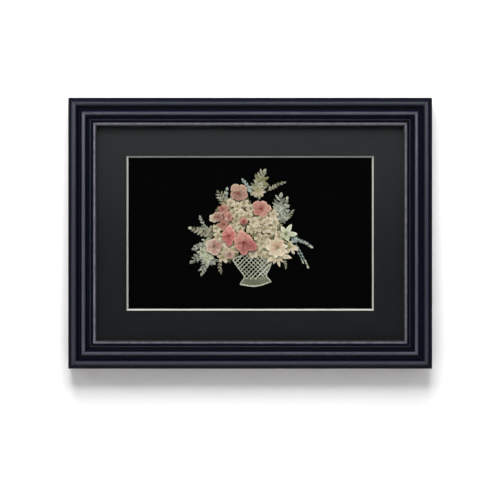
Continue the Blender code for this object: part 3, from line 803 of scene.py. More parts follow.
def petal_finish(name, throat, body, edge, vein_and_shade, throat_reach):
    petal = Finish(name)
    along, across, tone = petal.mark("along"), petal.mark("across"), petal.mark("tone")
    broad = petal.noise(270.0, detail=3.0, roughness=0.6)
    blotch = petal.noise(620.0, detail=4.0, roughness=0.65)
    fine = petal.noise(2400.0, detail=2.0)
    wander = (blotch - 0.5) * 1.6
    stripes = (across * (PETAL_VEINS * pi) + wander * 1.5).wave()
    vein_mask = (1 - abs(stripes)) ** 2.0 * along.step(1.0, 0.6) * 0.7
    colour = petal.layers(
        throat,
        ((along + wander * 0.16).step(0.0, throat_reach), body),
        (blotch.step(0.45, 0.68) * 0.75, edge),
        (broad.step(0.5, 0.66) * 0.7, edge),
        (broad.step(0.5, 0.36) * 0.6, throat),
        ((along + wander * 0.12).step(0.7, 0.97) * 0.8, edge),
        (vein_mask, vein_and_shade),
        # a petal's tone pales or darkens it: at random, and on the large flowers as painted light and painted
        # shade
        (tone.step(0.5, 1.0) * 0.4, edge),
        (tone.step(0.5, 0.0) * 0.5, vein_and_shade),
        # painted shade: each petal is darkened along its sides towards the root, where the next petal
        # overlaps it
        (abs(across).step(0.78, 1.0) * along.step(0.9, 0.5) * 0.5, vein_and_shade),
    )
    crease = petal.relief(vein_mask * -0.6 + blotch * 0.9 + fine * 0.25, 0.0007, 0.9)
    return petal.surface(
        Base_Color=colour, Roughness=0.62 + blotch * 0.25, Normal=crease, Specular_IOR_Level=0.3,
        Sheen_Weight=0.15, Sheen_Roughness=0.6,
    )


def centre_finish(name, dark, light):
    centre = Finish(name)
    grain = centre.noise(3000.0, detail=3.0)
    return centre.surface(
        Base_Color=centre.blend(grain.step(0.3, 0.7), dark, light), Roughness=0.85,
        Normal=centre.relief(grain, 0.0004, 0.8),
    )


PETAL_COLOURS = {
    # finish: colour of the throat, the body, the edge and the veins, which is also the painted shade, and how
    # far the throat reaches
    "salmon_petal": ((123, 73, 61), (153, 114, 98), (177, 148, 129), (117, 68, 54), 0.45),
    "coral_petal": ((151, 67, 67), (175, 117, 104), (188, 154, 135), (131, 56, 56), 0.45),
    "crimson_petal": ((167, 72, 73), (189, 104, 100), (198, 148, 133), (139, 58, 59), 0.45),
    "rose_petal": ((142, 60, 61), (176, 107, 99), (193, 146, 129), (119, 50, 51), 0.45),
    "pink_petal": ((151, 95, 86), (177, 136, 122), (191, 174, 154), (140, 90, 81), 0.6),
    "floret_pink": ((140, 76, 67), (168, 113, 100), (184, 146, 127), (128, 70, 60), 0.45),
    "peach_petal": ((190, 134, 109), (203, 182, 154), (211, 207, 184), (182, 144, 119), 0.45),
    "cream_petal": ((137, 125, 83), (196, 177, 148), (208, 193, 173), (136, 125, 86), 0.5),
    "green_cream_petal": ((143, 146, 104), (188, 187, 160), (201, 199, 178), (150, 153, 117), 0.5),
    "plume_petal": ((160, 138, 58), (166, 152, 92), (182, 172, 128), (126, 116, 62), 0.45),
}
petals_of = {
    name: petal_finish(name, *(tint(*colour) for colour in colours), reach)
    for name, (*colours, reach) in PETAL_COLOURS.items()
}
rust_centre = centre_finish("rust_centre", tint(104, 44, 26), tint(150, 74, 44))
olive_centre = centre_finish("olive_centre", tint(96, 98, 52), tint(150, 148, 92))
brown_centre = centre_finish("brown_centre", tint(78, 52, 40), tint(128, 88, 66))
red_centre = centre_finish("red_centre", tint(110, 34, 40), tint(156, 58, 60))
print("petal finishes made")

# %% [markdown]
# ## Flowers
#
# A flower is a ring of petals round its heart. Each petal spreads from the heart like a fan, its outer edge
# swelling to the petal's length in the middle and sinking to the heart's radius between neighbours. The
# solids were drawn by the same rule, so the tips of both agree. One side of each petal is lifted and the
# other tucked under, as in a real bloom, and the rim is frilled a little at random.

# %% Bloom
PETAL_ROWS = 9
PETAL_COLUMNS = 12
ROOT = 0.1
OVERLAP = 1.1
HEART_FINISH = 1
THREAD_HALF = 0.07
ANTHER_AT = 0.86


def add_petals(press, petals, heart, roundness, frill, lift, point=0.0, notch=0.0, low=0.0, shift=(0.0, 0.0),
               painted_light_way=None, rows=PETAL_ROWS, columns=PETAL_COLUMNS):
    """A ring of petals. Point makes their tips sharper. A light direction, when given, paints the petals that
    point to it palest, as painted light, and darkens those turned away, as painted shade.
    """
    for number, (turn, length) in enumerate(petals):
        before = (turn - petals[number - 1][0]) % 360 / 2
        after = (petals[(number + 1) % len(petals)][0] - turn) % 360 / 2
        tone, phase, rest = dice.random(), dice.uniform(0, 6.28), dice.uniform(0.0, 0.4) * lift
        ripples, sway = dice.choice((2, 3, 3, 4)), dice.uniform(-4, 4)
        # painted light and painted shade: the tone follows the side the petal points to
        if painted_light_way is not None:
            tone = 0.5 + 0.4 * cos(radians(turn - painted_light_way)) + 0.2 * (tone - 0.5)

        def place(u, v):
            angle = radians(turn + sway * u + v * (before if v < 0 else after) * OVERLAP)
            reach = max(0.0, cos(v * pi / 2)) ** roundness
            reach += point * ((1 - abs(v)) ** 1.15 - reach)
            rim = heart + (length - heart) * reach
            wave = sin(v * pi * ripples + phase)
            rim *= 1 - frill * (0.5 + 0.5 * wave) * (1 - reach * 0.3) - notch * exp(-((v / 0.2) ** 2))
            radius = rim * (ROOT + (1 - ROOT) * u)
            rise = low + rest + lift * (0.45 * (v + 1) * u + 0.22 * wave * u * u)
            return shift[0] + radius * cos(angle), shift[1] + radius * sin(angle), rise

        press.sheet(rows, columns, place, tone)


def add_button(press, radius, height, shift=(0.0, 0.0), rows=3, columns=8):
    def place(u, v):
        angle, fall = v * pi, u * pi / 2
        reach = radius * sin(fall) * (1 + 0.08 * sin(3 * angle))
        return shift[0] + reach * cos(angle), shift[1] + reach * sin(angle), height * cos(fall)

    press.sheet(rows, columns, place, finish=HEART_FINISH)


def add_stamens(press, count, reach, height):
    """Short flat threads with a swollen end, lying outwards from the heart."""
    for number in range(count):
        turn = 2 * pi * (number + dice.uniform(-0.3, 0.3)) / count
        length = reach * dice.uniform(0.7, 1.0)
        way = way_at(turn)

        def place(u, v):
            wide = THREAD_HALF + 0.2 * exp(-(((u - ANTHER_AT) / 0.12) ** 2))
            wide *= sqrt(max(0.0, 1 - max(0.0, (u - ANTHER_AT) / (1 - ANTHER_AT)) ** 2))
            return *aside(way * length * u, way, wide * v), height + 0.06 * (1 - v * v)

        press.sheet(7, 2, place, finish=HEART_FINISH)


def even_petals(count, length, first=90):
    return [(first + 360 * petal / count, length) for petal in range(count)]


# %% Large flowers
FLOWERS = (
    # name, finish of its petals and of its core, layer, middle, direction of its painted light (petals
    # pointing there are painted palest), heart, roundness, sharpness, core, and the petals as (direction,
    # length)
    ("flower_salmon", "salmon_petal", rust_centre, 5, (-12.6, 44.2), 80, 8, 0.5, 0.3, 1.2,
     [(48, 11.2), (126, 11.8), (202, 9.6), (262, 8.8), (334, 10.8)]),
    ("flower_coral", "coral_petal", red_centre, 5, (12.8, 27.2), 10, 7.2, 0.5, 0.45, 0.9,
     [(2, 11.2), (70, 9.2), (146, 11.8), (212, 10.8), (294, 10.8)]),
    ("flower_rose", "rose_petal", red_centre, 6, (-6.6, -10.2), 120, 10.4, 0.55, 0.6, 0.9,
     [(46, 10.2), (112, 14), (166, 11.8), (214, 11.6), (272, 15.4), (328, 16.6)]),
    ("flower_crimson", "crimson_petal", red_centre, 5, (-23.8, -2.8), 70, 7.2, 0.6, 0.5, 0.8,
     [(22, 9.4), (82, 11.8), (150, 7.8), (214, 8.4), (278, 12.4), (335, 8.4)]),
    ("flower_pale_pink", "pink_petal", brown_centre, 5, (-40, -14.8), 190, 7.6, 0.5, 0.4, 1.1,
     [(20, 9.8), (84, 9.4), (150, 10.6), (214, 9.6), (288, 10.4)]),
    ("flower_peach", "peach_petal", olive_centre, 6, (29.6, -16.2), 270, 8.8, 0.6, 0.7, 1.2,
     [(12, 12.6), (52, 11.4), (92, 12.4), (132, 11.8), (176, 13.4), (222, 12), (262, 12.2),
      (300, 12), (338, 13)]),
    ("flower_dusty_pink", "pink_petal", brown_centre, 6, (-22.6, -23.2), 90, 4.4, 0.5, 0.3, 0.8,
     even_petals(5, 6)),
    ("bud_dusty_pink", "rose_petal", red_centre, 6, (-7.1, 13.3), 90, 3.8, 0.5, 0.3, 0.6,
     even_petals(5, 4.6, 60)),
    ("flower_cream_star", "cream_petal", olive_centre, 5, (29.8, -25.6), 280, 5.2, 1, 0.9, 0.8,
     [(212, 14), (245, 10), (283, 12.8), (318, 10.4), (350, 17.2), (60, 7), (140, 7)]),
    ("flower_green_star", "green_cream_petal", olive_centre, 5, (39.6, -0.6), 60, 4.2, 1, 0.9, 0.9,
     [(58, 12.8), (122, 10.4), (200, 7.8), (284, 9.4), (355, 13.4)]),
    ("flower_cream_side", "cream_petal", olive_centre, 4, (43.8, -15.4), 320, 3.8, 1, 0.8, 0.6,
     [(100, 7.6), (175, 5.2), (250, 8.4), (300, 10), (343, 10.4)]),
    ("flower_white_low", "cream_petal", olive_centre, 4, (-30, -26.6), 300, 3, 1, 0.8, 0.6,
     [(20, 6.4), (95, 5.8), (170, 7.2), (235, 6.6), (300, 8)]),
)
SLOTS = {"crimson_petal": "coral_petal", "floret_pink": "pink_petal"}
TOP_LAYER = 6
STAMENS = 7


def petal_lift(layer):
    """The top layer lies close under the glass, so its petals lift less."""
    return 0.28 if layer == TOP_LAYER else 0.4


for name, finish, centre, layer, middle, painted_light_way, heart, roundness, point, core, petals in FLOWERS:
    press = Pressing(layer, middle)
    lift = petal_lift(layer)
    add_petals(press, petals, heart, roundness, frill=0.07, lift=lift, point=point, painted_light_way=painted_light_way)
    add_button(press, core, lift)
    add_stamens(press, STAMENS, core * 2.2, lift * 0.7)
    press.make(name + "_petals", [petals_of[finish], centre], SLOTS.get(finish, finish), name)
print("flowers:", len(FLOWERS))

# %% The bunch of small florets at the left
FLORETS = (
    # x, z, radius, layer, finish
    (-29.2, 26.4, 7.2, 5, "floret_pink"), (-35.8, 18.2, 6.2, 6, "salmon_petal"),
    (-23.8, 18.0, 5.7, 6, "coral_petal"), (-29.2, 9.4, 7.4, 4, "floret_pink"),
    (-40.4, 16.6, 5.4, 4, "cream_petal"),
)
SMALL_HEART = 3.4
for number, (x, z, radius, layer, finish) in enumerate(FLORETS, 1):
    node = f"floret_left_{number}"
    press = Pressing(layer, (x, z))
    lift = petal_lift(layer)
    add_petals(press, even_petals(5, radius, 31 * number - 11), SMALL_HEART, 0.6, frill=0.08, lift=lift,
               notch=0.06, point=0.3, rows=7, columns=10)
    add_button(press, 0.6, lift)
    if node == "floret_left_4":
        # a second ring, tucked into the gap above it
        add_petals(press, even_petals(6, 6.4, 10), 3.0, 0.6, frill=0.1, lift=0.2, shift=(0.8, 8.4),
                   rows=6, columns=8)
    press.make(node + "_petals", [petals_of[finish], rust_centre], SLOTS.get(finish, finish), node)
print("left florets:", len(FLORETS))

# %% [markdown]
# ## Leaves
#
# The foliage is pale grey-green and feathery. Each leaflet is a pointed blade folded along its midrib, with a
# slightly ragged edge. The finish draws a pale midrib, slanting side veins and a pale rim from the same two
# numbers that the petals use. Leaves come before the cream heads here, because the bracts between their
# florets are small leaves too.

# %% Leaf finish
def leaf_finish(name, body, edge, rib, dark):
    leaf = Finish(name)
    along, across, tone = leaf.mark("along"), leaf.mark("across"), leaf.mark("tone")
    blotch = leaf.noise(700.0, detail=4.0, roughness=0.65)
    fine = leaf.noise(3200.0, detail=2.0)
    side = abs(across)
    slant = ((along * 9.0 - side * 3.0) * pi * 2 + (blotch - 0.5) * 2.0).wave()
    side_vein = (1 - abs(slant)) ** 3.0 * 0.3
    midrib = side.step(0.16, 0.04) * 0.7
    colour = leaf.layers(
        dark,
        (blotch.step(0.3, 0.62), body),
        (side.step(0.45, 0.95) * 0.75, edge),
        (side_vein, dark),
        (midrib, rib),
        (along.step(0.25, 0.0) * 0.5, dark),
        (tone.step(0.6, 0.0) * 0.6, dark),
    )
    crease = leaf.relief(midrib * -0.5 + side_vein + blotch * 0.8 + fine * 0.3, 0.0006, 0.7)
    return leaf.surface(
        Base_Color=colour, Roughness=0.66 + blotch * 0.24, Normal=crease, Specular_IOR_Level=0.3
    )


LEAF_COLOURS = {
    # finish: colour of the body, the edge, the midrib and the shade
    "sage_leaf": ((153, 148, 124), (216, 212, 194), (200, 192, 164), (76, 73, 50)),
    "grey_green_leaf": ((154, 156, 138), (220, 221, 210), (200, 199, 184), (70, 73, 57)),
    "blue_green_leaf": ((154, 168, 160), (217, 223, 215), (209, 217, 207), (82, 98, 90)),
    "olive_bract": ((122, 118, 84), (166, 160, 124), (152, 144, 106), (66, 64, 42)),
}
leaves_of = {
    name: leaf_finish(name, *(tint(*colour) for colour in colours))
    for name, colours in LEAF_COLOURS.items()
}
finish_of = {**petals_of, **leaves_of}
print("leaf finishes made")

# %% Blades
BLADE_ROWS = 8
BUD_TONE = 0.9
BUD_FINISH = 3


def add_blade(press, base, angle, length, width, lift, tone, finish=0, rows=BLADE_ROWS):
    """One leaflet from its root on the stem, pointed at both ends and folded along its midrib."""
    way = way_at(angle)
    bend = dice.uniform(-0.06, 0.06) * length
    ragged = dice.uniform(0, 6.28)

    def place(u, v):
        wide = width / 2 * sin(pi * u**0.8) ** 0.8 if 0 < u < 1 else 0.0
        wide *= 1 + 0.12 * sin(u * 19 + ragged + v)
        wide += 0.1 * (1 - u)
        swell = sin(pi * u)
        rise = lift + 0.12 * swell + 0.1 * abs(v) * swell
        return *aside(base + way * length * u, way, wide * v + bend * swell), rise

    press.sheet(rows, 4, place, tone, finish)


def add_bud(press, x, z, length, width, angle):
    """A closed bud: a small plump drop with its point outwards."""
    way = way_at(angle)

    def place(u, v):
        wide = width / 2 * sin(pi * min(1.0, u * 0.97 + 0.03)) ** 0.55
        rise = 0.05 + 0.3 * sqrt(max(0.0, 1 - v * v)) * sin(pi * u)
        return *aside(Vector((x, z)) + way * length * (u - 0.5), way, wide * v), rise

    press.sheet(7, 6, place, BUD_TONE, BUD_FINISH)


def add_whorl(press, middle, blades, lengths, widths, lifts, finishes, first=None, rows=5, span=360):
    """Blades round a point like a star of small leaves. Lengths, widths and lifts are ranges to draw from."""
    first = dice.uniform(0, 360) if first is None else first
    for blade in range(blades):
        turn = first + span * blade / blades + dice.uniform(-10, 10)
        add_blade(press, Vector(middle), radians(turn), dice.uniform(*lengths), dice.uniform(*widths),
                  dice.uniform(*lifts), dice.random(), dice.choice(finishes), rows)


print("blade, bud and whorl ready")

# %% [markdown]
# ## Heads of cream florets
#
# The pale middle of the bouquet is a mass of small cream florets from a few flower heads, pressed so close
# that only olive bracts show between them. They use the petal fan again, smaller, with notched tips and
# lifted by turns so that their edges overlap.

# %% Cream heads
HEADS = (
    # name, layer, radius of the florets, their middles, and tufts of bracts where stalks part
    ("cream_head_upper", 3, 5.8,
     ((-21.6, 34), (-14, 30), (-6.2, 33.2), (0.6, 27.4), (-18.6, 22.6), (-9.6, 22.2), (-1.8, 18.8),
      (-15.2, 13.4), (-20, 5.8), (-11.2, 4.8)),
     ((-25.6, 28), (-24, 12.4), (-5.2, 9.6), (-12, 38), (4.6, 21.6), (-34.6, 24.6))),
    ("cream_head_middle", 4, 6.2,
     ((3.6, 12.6), (11.6, 14.6), (19.6, 13.6), (27.2, 12), (0.6, 4.4), (8.6, 6), (16.8, 4.6),
      (25.2, 3.2), (31.6, -3.6), (25.8, 20.2)),
     ((24.6, -3.4), (13, 9.6), (31.6, 8), (19.8, 22), (3.6, -0.6), (34.6, 2.8))),
    ("cream_head_lower", 3, 6.5,
     ((9, -3.6), (17.6, -5), (12.2, -12.6), (20.4, -14), (11.4, -21.2), (19.2, -23), (3.4, -22.8)),
     ((24.6, -8.6), (14.4, -17.4), (5.6, -16.6), (25.6, -19.8), (6.6, -9.4), (36.8, -8.4))),
    ("cream_head_left", 3, 5.8,
     ((-36.6, 5), (-35.4, -3.2), (-31.4, -10.4), (-23.6, -13.8), (-30.8, -18.4), (-16.2, -17.6)),
     ((-17.7, -4.2), (-17.8, -24), (-38.6, -10.4), (-27.6, 1.6), (-24.4, -29), (-16, -11.4))),
)
FLORET_HEART = 3.2
BRACTS = 8
TUFT_BLADES = 9
FLORET, BRACT = 0, 2
for name, layer, radius, middles, tufts in HEADS:
    press = Pressing(layer)
    for number, middle in enumerate(middles):
        add_whorl(press, middle, BRACTS, (6.0, 7.8), (2.8, 4.0), (-0.1, -0.1), (BRACT,))
        whole = even_petals(5, radius, 17 * number)
        petals = [(turn, length * dice.uniform(0.88, 1.04)) for turn, length in whole]
        low = 0.08 + 0.06 * (number % 3)
        add_petals(press, petals, FLORET_HEART, 0.6, frill=0.1, lift=0.2, point=0.55, notch=0.05, low=low,
                   shift=middle, rows=6, columns=8)
        add_button(press, 0.7, 0.4, middle, rows=2, columns=6)
    for tuft in tufts:
        add_whorl(press, tuft, TUFT_BLADES, (3.6, 5.6), (1.4, 2.2), (-0.1, 0.2), (FLORET, BRACT, BRACT))
    wears = [finish_of["cream_petal"], olive_centre, finish_of["olive_bract"]]
    press.make(name + "_florets", wears, "cream_petal", name)
print("cream florets:", sum(len(head[3]) for head in HEADS))

# %% [markdown]
# ## Sprays
#
# A spray is a thin curved stem with pairs of leaflets leaning forward and one at the tip, along the stem of
# its solid. The lengths, widths and leans vary a little at random. Some sprays carry closed buds at their
# tips, and some have stars of broad leaflets where their shoots part.

# %% Sprays
STEM_HALF = 0.35


def add_spray(press, stem, leaflets, leaf_length, fullness, lean, taper, tip_length):
    start, bend, end = (Vector(point) for point in stem)
    run = (bend - start).length + (end - bend).length
    leaf_width = fullness * sin(radians(lean)) * run / (leaflets + 0.6)

    def on_stem(share):
        return start * (1 - share) ** 2 + bend * 2 * share * (1 - share) + end * share**2

    def heading(share):
        slope = (bend - start) * (1 - share) + (end - bend) * share
        return atan2(slope.y, slope.x)

    def along_stem(u, v):
        half = STEM_HALF * (1 - 0.55 * u)
        return *aside(on_stem(u), way_at(heading(u)), half * v), 0.2 * (1 - v * v)

    press.sheet(16, 4, along_stem, 0.6)
    for side in (-1, 1):
        for pair in range(leaflets):
            share = (pair + 0.75 + 0.12 * side) / (leaflets + 0.6)
            size = (1 - taper * share) * dice.uniform(0.84, 1.06)
            angle = heading(share) + side * radians(lean + dice.uniform(-9, 9))
            width = leaf_width * size * dice.uniform(0.85, 1.15)
            lift = 0.04 * (pair % 3)
            add_blade(press, on_stem(share), angle, leaf_length * size, width, lift, dice.random())
    add_blade(press, on_stem(0.985), heading(1), tip_length, leaf_width * 0.9, 0.05, dice.random())


OWN, CREAM, YELLOW, GREEN, OLIVE = range(5)
SPRAY_SLOTS = {
    "sage": "sage_leaf", "grey": "grey_green_leaf", "blue": "blue_green_leaf", "cream": "green_cream_petal",
}
SHOOT_FINISHES = ("cream_petal", "plume_petal", "green_cream_petal", "olive_bract")
SPRAYS = (
    # name, layer, colour, stem, pairs, leaflet length, fullness, lean, taper, tip length
    ("plume_top", 1, "sage", ((9.4, 34), (6.4, 56), (14.6, 67)), 6, 13.4, 1.15, 36, 0.5, 5.6),
    ("spray_top_left", 2, "blue", ((0.8, 42), (-2, 52), (-7.6, 58.2)), 4, 4.8, 1, 30, 0.3, 3.4),
    ("spray_top_right", 2, "sage", ((18.6, 46.6), (26, 53), (36.6, 55.6)), 5, 4.8, 0.85, 36, 0.4, 3.6),
    ("spray_upper_left", 1, "sage", ((-25.4, 30), (-29.4, 37), (-34.4, 44.4)), 4, 9.4, 0.95, 52, 0.45, 4.4),
    ("leaf_upper_left", 2, "grey", ((-26.6, 33), (-27.4, 40), (-26, 47)), 2, 5, 1.1, 30, 0.2, 4.4),
    ("leaf_right", 1, "grey", ((32, 8), (30.6, 24), (33.6, 39.4)), 6, 13.4, 1.2, 44, 0.4, 6.4),
    ("leaf_right_side", 2, "grey", ((36, 12.4), (40, 20), (40.6, 33)), 4, 6.2, 1.1, 42, 0.2, 5.6),
    ("spray_right_faint", 1, "sage", ((41, 14), (43.6, 20), (46.6, 24)), 3, 4.2, 0.8, 40, 0.3, 3.2),
    ("spray_left", 1, "sage", ((-38, -3.4), (-51, 1), (-64.2, 5)), 6, 9.4, 1.3, 46, 0.55, 5),
    ("spray_left_tall", 2, "grey", ((-45, 1), (-52.4, 9), (-54.8, 16.6)), 4, 5.4, 1, 32, 0.4, 3.8),
    ("leaf_cream_left", 3, "cream", ((-42.6, -6), (-45.6, -7.6), (-49.8, -7.4)), 2, 3.2, 0.9, 46, 0.3, 4.4),
    ("spray_low_left_1", 1, "grey", ((-42, -15), (-53, -11.6), (-61.4, -16.4)), 5, 7.4, 1.2, 45, 0.4, 4.2),
    ("spray_low_left_2", 2, "grey", ((-38, -19), (-53, -21.6), (-63.4, -30.6)), 6, 10, 1.2, 46, 0.5, 5),
    ("spray_low_left_3", 3, "grey", ((-42, -23), (-49.2, -29.6), (-53, -43.4)), 6, 9.4, 1.1, 44, 0.45, 5),
    ("spray_low_left_4", 2, "sage", ((-33.4, -26), (-34.4, -36), (-32.6, -42.6)), 4, 4.4, 0.8, 42, 0.3, 3.2),
    ("sprig_right_1", 2, "blue", ((42, -3.4), (56, -7), (66.8, -14.6)), 7, 3.8, 1.1, 30, 0.2, 3.6),
    ("sprig_right_2", 1, "blue", ((50.6, -12), (56.6, -22), (63.2, -35.8)), 6, 3.2, 0.7, 20, 0.2, 3.8),
    ("sprig_right_3", 2, "blue", ((49.8, -16), (54.6, -23), (57.8, -31)), 4, 3, 0.7, 20, 0.2, 3),
    ("sprig_right_low", 1, "sage", ((37.4, -28), (39.6, -33), (39.4, -37.2)), 3, 3.2, 0.8, 38, 0.2, 2.8),
)
BUDS = {
    # buds at the tips of some sprays: x, z, length, width, direction in degrees
    "spray_left": ((-66.4, 5.6, 4.4, 3, 172),),
    "sprig_right_1": ((67.6, -15.2, 4.6, 2.6, -30), (61.8, -11.4, 3.4, 2, -8)),
    "sprig_right_2": ((63.6, -37, 4.4, 2.4, -68), (61.2, -31, 3.2, 1.9, -40)),
    "sprig_right_3": ((58.2, -32, 3.8, 2.1, -66),),
    "leaf_right_side": ((40.9, 38.6, 4, 2.8, 80),),
}
WHORLS = (
    # spray, middle, blades, their lengths and widths, first direction, span, which finish they wear
    ("plume_top", (11.6, 57), 5, (7, 11), (3, 4.2), -30, 250, OLIVE),
    ("plume_top", (8.6, 48), 7, (9, 12.6), (3, 4), -10, 200, OWN),
    ("plume_top", (8.6, 47), 8, (7.5, 10.5), (2, 2.8), 200, 160, CREAM),
    ("plume_top", (8.6, 48.6), 12, (3.6, 7), (1.5, 2.3), 0, 360, YELLOW),
    ("spray_low_left_3", (-47.4, -26), 6, (6, 8.4), (3, 4.2), 100, 360, GREEN),
    ("spray_low_left_3", (-41.6, -30), 5, (5.6, 7.6), (2.8, 3.8), 190, 200, OWN),
    ("spray_low_left_2", (-52.4, -20.4), 6, (5.6, 7.6), (2.6, 3.6), 60, 360, GREEN),
    ("spray_low_left_2", (-44, -22), 7, (5.6, 8), (3, 4), 120, 200, GREEN),
    ("spray_low_left_1", (-46.6, -10), 6, (4.6, 6.8), (2.4, 3.4), 40, 360, GREEN),
    ("spray_left", (-44.6, 1.4), 6, (5.6, 8), (2.6, 3.8), 30, 300, OWN),
    ("spray_upper_left", (-28.4, 33.6), 5, (4.6, 6.6), (2, 3), 60, 300, OLIVE),
    ("leaf_right", (34, 17.4), 6, (6, 8.6), (2.8, 4), 0, 360, OWN),
    ("leaf_right", (33, 29), 5, (5, 7.4), (2.4, 3.6), 20, 360, OWN),
    ("sprig_right_1", (47, -6.4), 6, (4.6, 7.4), (2.2, 3.2), -100, 150, OWN),
)
for name, layer, colour, stem, pairs, leaf_length, fullness, lean, taper, tip_length in SPRAYS:
    press = Pressing(layer)
    add_spray(press, stem, pairs, leaf_length, fullness, lean, taper, tip_length)
    for x, z, length, width, turn in BUDS.get(name, ()):
        add_bud(press, x, z, length, width, radians(turn))
    for owner, middle, blades, lengths, widths, first, span, worn in WHORLS:
        if owner == name:
            add_whorl(press, middle, blades, lengths, widths, (0.05, 0.2), (worn,), first, 7, span)
    slot = SPRAY_SLOTS[colour]
    wears = [finish_of[finish] for finish in (slot, *SHOOT_FINISHES)]
    press.make(name + "_leaflets", wears, slot, name)
print("sprays:", len(SPRAYS))

# %% [markdown]
# ## The lattice basket
#
# The basket is plaited from split straw: flat strips cross at 45 degrees and pass over and under each other,
# from the bound rim down to the foot, which is five twisted cords. Each strip is clipped to the basket's
# outline, and its height follows a wave that is up where it crosses over and down where it goes under.

# %% Basket outline
BASKET_RIM = ((19.0, -25.6), (4.0, -22.4), (-10.0, -24.2))
BASKET_LEFT = ((-20.5, -29.0), (-14.0, -38.0), (-7.8, -46.2), (-7.4, -49.6), (-10.8, -54.6), (-11.2, -57.0))
BASKET_RIGHT = ((25.0, -31.0), (21.6, -39.5), (18.6, -45.4), (19.2, -48.4), (22.8, -52.2), (23.2, -54.0))
BASKET_FOOT_LOW = (6.0, -59.2)
EDGE_STEPS = 6


def smooth(points, steps):
    """A rounder line through the points, its ends kept."""
    path = [Vector(point) for point in (points[0], *points, points[-1])]
    line = []
    for before, start, end, after in zip(path, path[1:], path[2:], path[3:]):
        for step in range(steps):
            share = step / steps
            bend = (end - before) * share + (2 * before - 5 * start + 4 * end - after) * share**2
            bend += (3 * start - before - 3 * end + after) * share**3
            line.append(start + bend / 2)
    return line + [path[-1]]


left_edge = smooth(BASKET_LEFT, EDGE_STEPS)
right_edge = smooth(BASKET_RIGHT, EDGE_STEPS)
rim_edge = smooth((BASKET_LEFT[0], *BASKET_RIM[::-1], BASKET_RIGHT[0]), EDGE_STEPS)
foot_edge = smooth((BASKET_LEFT[-1], BASKET_FOOT_LOW, BASKET_RIGHT[-1]), EDGE_STEPS)
basket_edge = left_edge[:-1] + foot_edge[:-1] + right_edge[::-1][:-1] + rim_edge[::-1][:-1]


def inside(x, z):
    crossings = 0
    for (x0, z0), (x1, z1) in zip(basket_edge, basket_edge[1:] + basket_edge[:1]):
        if (z0 > z) != (z1 > z) and x < x0 + (z - z0) / (z1 - z0) * (x1 - x0):
            crossings += 1
    return crossings % 2 == 1


print("basket outline points:", len(basket_edge))

# %% Straw finish
# the colour of the painted shade at the strips' edges, also used to darken whole strips by their tone
STRAW_EDGE_SHADE_AND_DARK_TONE = tint(104, 104, 84)


def straw_finish(name, dull, pale):
    straw = Finish(name)
    along, across, tone = straw.mark("along"), straw.mark("across"), straw.mark("tone")
    fibre = (across * 14.0 + (straw.noise(300.0) - 0.5) * 2.0).wave() * 0.5 + 0.5
    blotch = straw.noise(520.0, detail=4.0)
    colour = straw.layers(
        dull,
        (blotch.step(0.3, 0.7), pale),
        (fibre * 0.25, tint(112, 112, 92)),
        # painted shade: each strip is darkened towards its edges
        (abs(across).step(0.6, 1.0) * 0.45, STRAW_EDGE_SHADE_AND_DARK_TONE),
        ((1 - tone) * 0.65, STRAW_EDGE_SHADE_AND_DARK_TONE),
    )
    return straw.surface(
        Base_Color=colour, Roughness=0.55 + blotch * 0.2,
        Normal=straw.relief(fibre * 0.5 + blotch * 0.4, 0.0003, 0.5),
    )


straw = straw_finish("basket_strip", tint(196, 196, 172), tint(244, 244, 226))
foot_straw = straw_finish("basket_foot", tint(70, 70, 56), tint(122, 121, 102))

# %% Woven strips
LATTICE_PITCH = 3.5
STRANDS = (
    # lean of the strip, its offset from the line, half its width, and how far left it reaches
    (1, 0.0, 0.4, -100.0), (-1, 0.0, 0.4, -100.0), (-1, 1.75, 0.22, 11.0),
)
LATTICE_LINES = range(-14, 15)
SAMPLES = 120
FEWEST_SAMPLES = 6
STRIPS_END = -51.0
WEAVE_RISE = 0.13
SAMPLE = 0.35
CORD_TWIST = 1.3
STRAND_SHARE = 0.55
LATTICE_MIDDLE = (6.0, -40.0)


def on_path(path, values, u):
    """A point of a path, its way there, and the value that belongs to it, u from 0 to 1 along the path."""
    position = u * (len(path) - 1)
    index = min(int(position), len(path) - 2)
    share = position - index
    way = (path[index + 1] - path[max(index - 1, 0)]).normalized()
    value = values[index] + (values[index + 1] - values[index]) * share
    return path[index].lerp(path[index + 1], share), way, value


def add_strip(press, path, half, rises, tone):
    """A flat band along a path of (x, z), with a rise at each point."""
    def place(u, v):
        point, way, rise = on_path(path, rises, u)
        return *aside(point, way, half * v), rise + 0.06 * (1 - v * v)

    press.sheet(len(path) - 1, 4, place, tone)


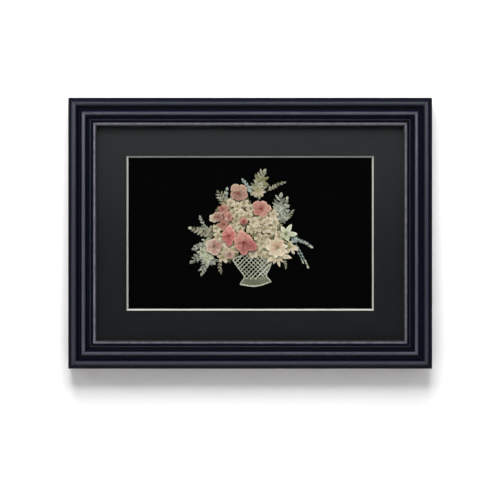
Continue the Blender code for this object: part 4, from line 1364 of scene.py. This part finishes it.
def add_lattice(press):
    middle = Vector(LATTICE_MIDDLE)
    count = 0
    for lean, offset, half, leftmost in STRANDS:
        way = Vector((1, lean)).normalized()
        side = Vector((-way.y, way.x))
        for line in LATTICE_LINES:
            run, drift, wide = [], dice.uniform(-0.35, 0.35), half * dice.uniform(0.7, 1.25)
            for step in range(-SAMPLES, SAMPLES + 1):
                point = middle + side * (line * LATTICE_PITCH + offset + drift) + way * (step * SAMPLE)
                within = inside(point.x, point.y) and point.x > leftmost and point.y > STRIPS_END
                if within:
                    run.append((point, step * SAMPLE))
                if run and (not within or step == SAMPLES):
                    if len(run) >= FEWEST_SAMPLES:
                        rises = [
                            0.12 + WEAVE_RISE * lean * cos(pi * (distance / LATTICE_PITCH + line))
                            for point, distance in run
                        ]
                        add_strip(press, [point for point, distance in run], wide, rises, dice.random())
                        count += 1
                    run = []
    return count


def add_cord(press, path, radius, rise, finish=0):
    """Two strands twisted round each other along a path, as a bound rim or a foot ring."""
    lengths = [0.0]
    for before, after in zip(path, path[1:]):
        lengths.append(lengths[-1] + (after - before).length)
    for strand in range(2):
        phase = pi * strand

        def place(u, v):
            point, way, run = on_path(path, lengths, u)
            turn = run * CORD_TWIST + phase
            bulge = 0.13 * cos(turn) * (1 - 0.5 * v * v) + 0.05 * (1 - v * v)
            return *aside(point, way, radius * STRAND_SHARE * (sin(turn) + v)), rise + bulge

        press.sheet(len(path) * 3, 4, place, 0.35 + 0.3 * strand, finish)


FOOT_START = 3
FOOT_DIP = 2.6
FOOT_STEPS = 10


def between(share):
    """A line across the basket's foot, from its left edge to its right edge."""
    left = Vector(BASKET_LEFT[FOOT_START]).lerp(Vector(BASKET_LEFT[-1]), share)
    right = Vector(BASKET_RIGHT[FOOT_START]).lerp(Vector(BASKET_RIGHT[-1]), share)
    dip = Vector((0, -FOOT_DIP * share))
    return smooth((left, (left + right) / 2 + dip, right), FOOT_STEPS)


basket = Pressing(2)
strips = add_lattice(basket)
BINDING = (
    # edge, how far its cord is set in as (x, z), and the radius of the cord
    (left_edge, (0.7, 0.0), 0.6), (right_edge, (-0.7, 0.0), 0.6),
    (rim_edge, (0.0, -0.7), 0.8), (foot_edge, (0.0, 0.8), 0.9),
)
FOOT_CORDS = (0.08, 0.28, 0.48, 0.68, 0.86)
FOOT_CORD_RADIUS = 1.0
for edge, inset, radius in BINDING:
    add_cord(basket, [point + Vector(inset) for point in edge], radius, 0.2)
for share in FOOT_CORDS:
    add_cord(basket, between(share), FOOT_CORD_RADIUS, 0.1, finish=1)
basket.make("basket_weave", [straw, foot_straw], "basket_strip", "basket")
print("basket strips:", strips)
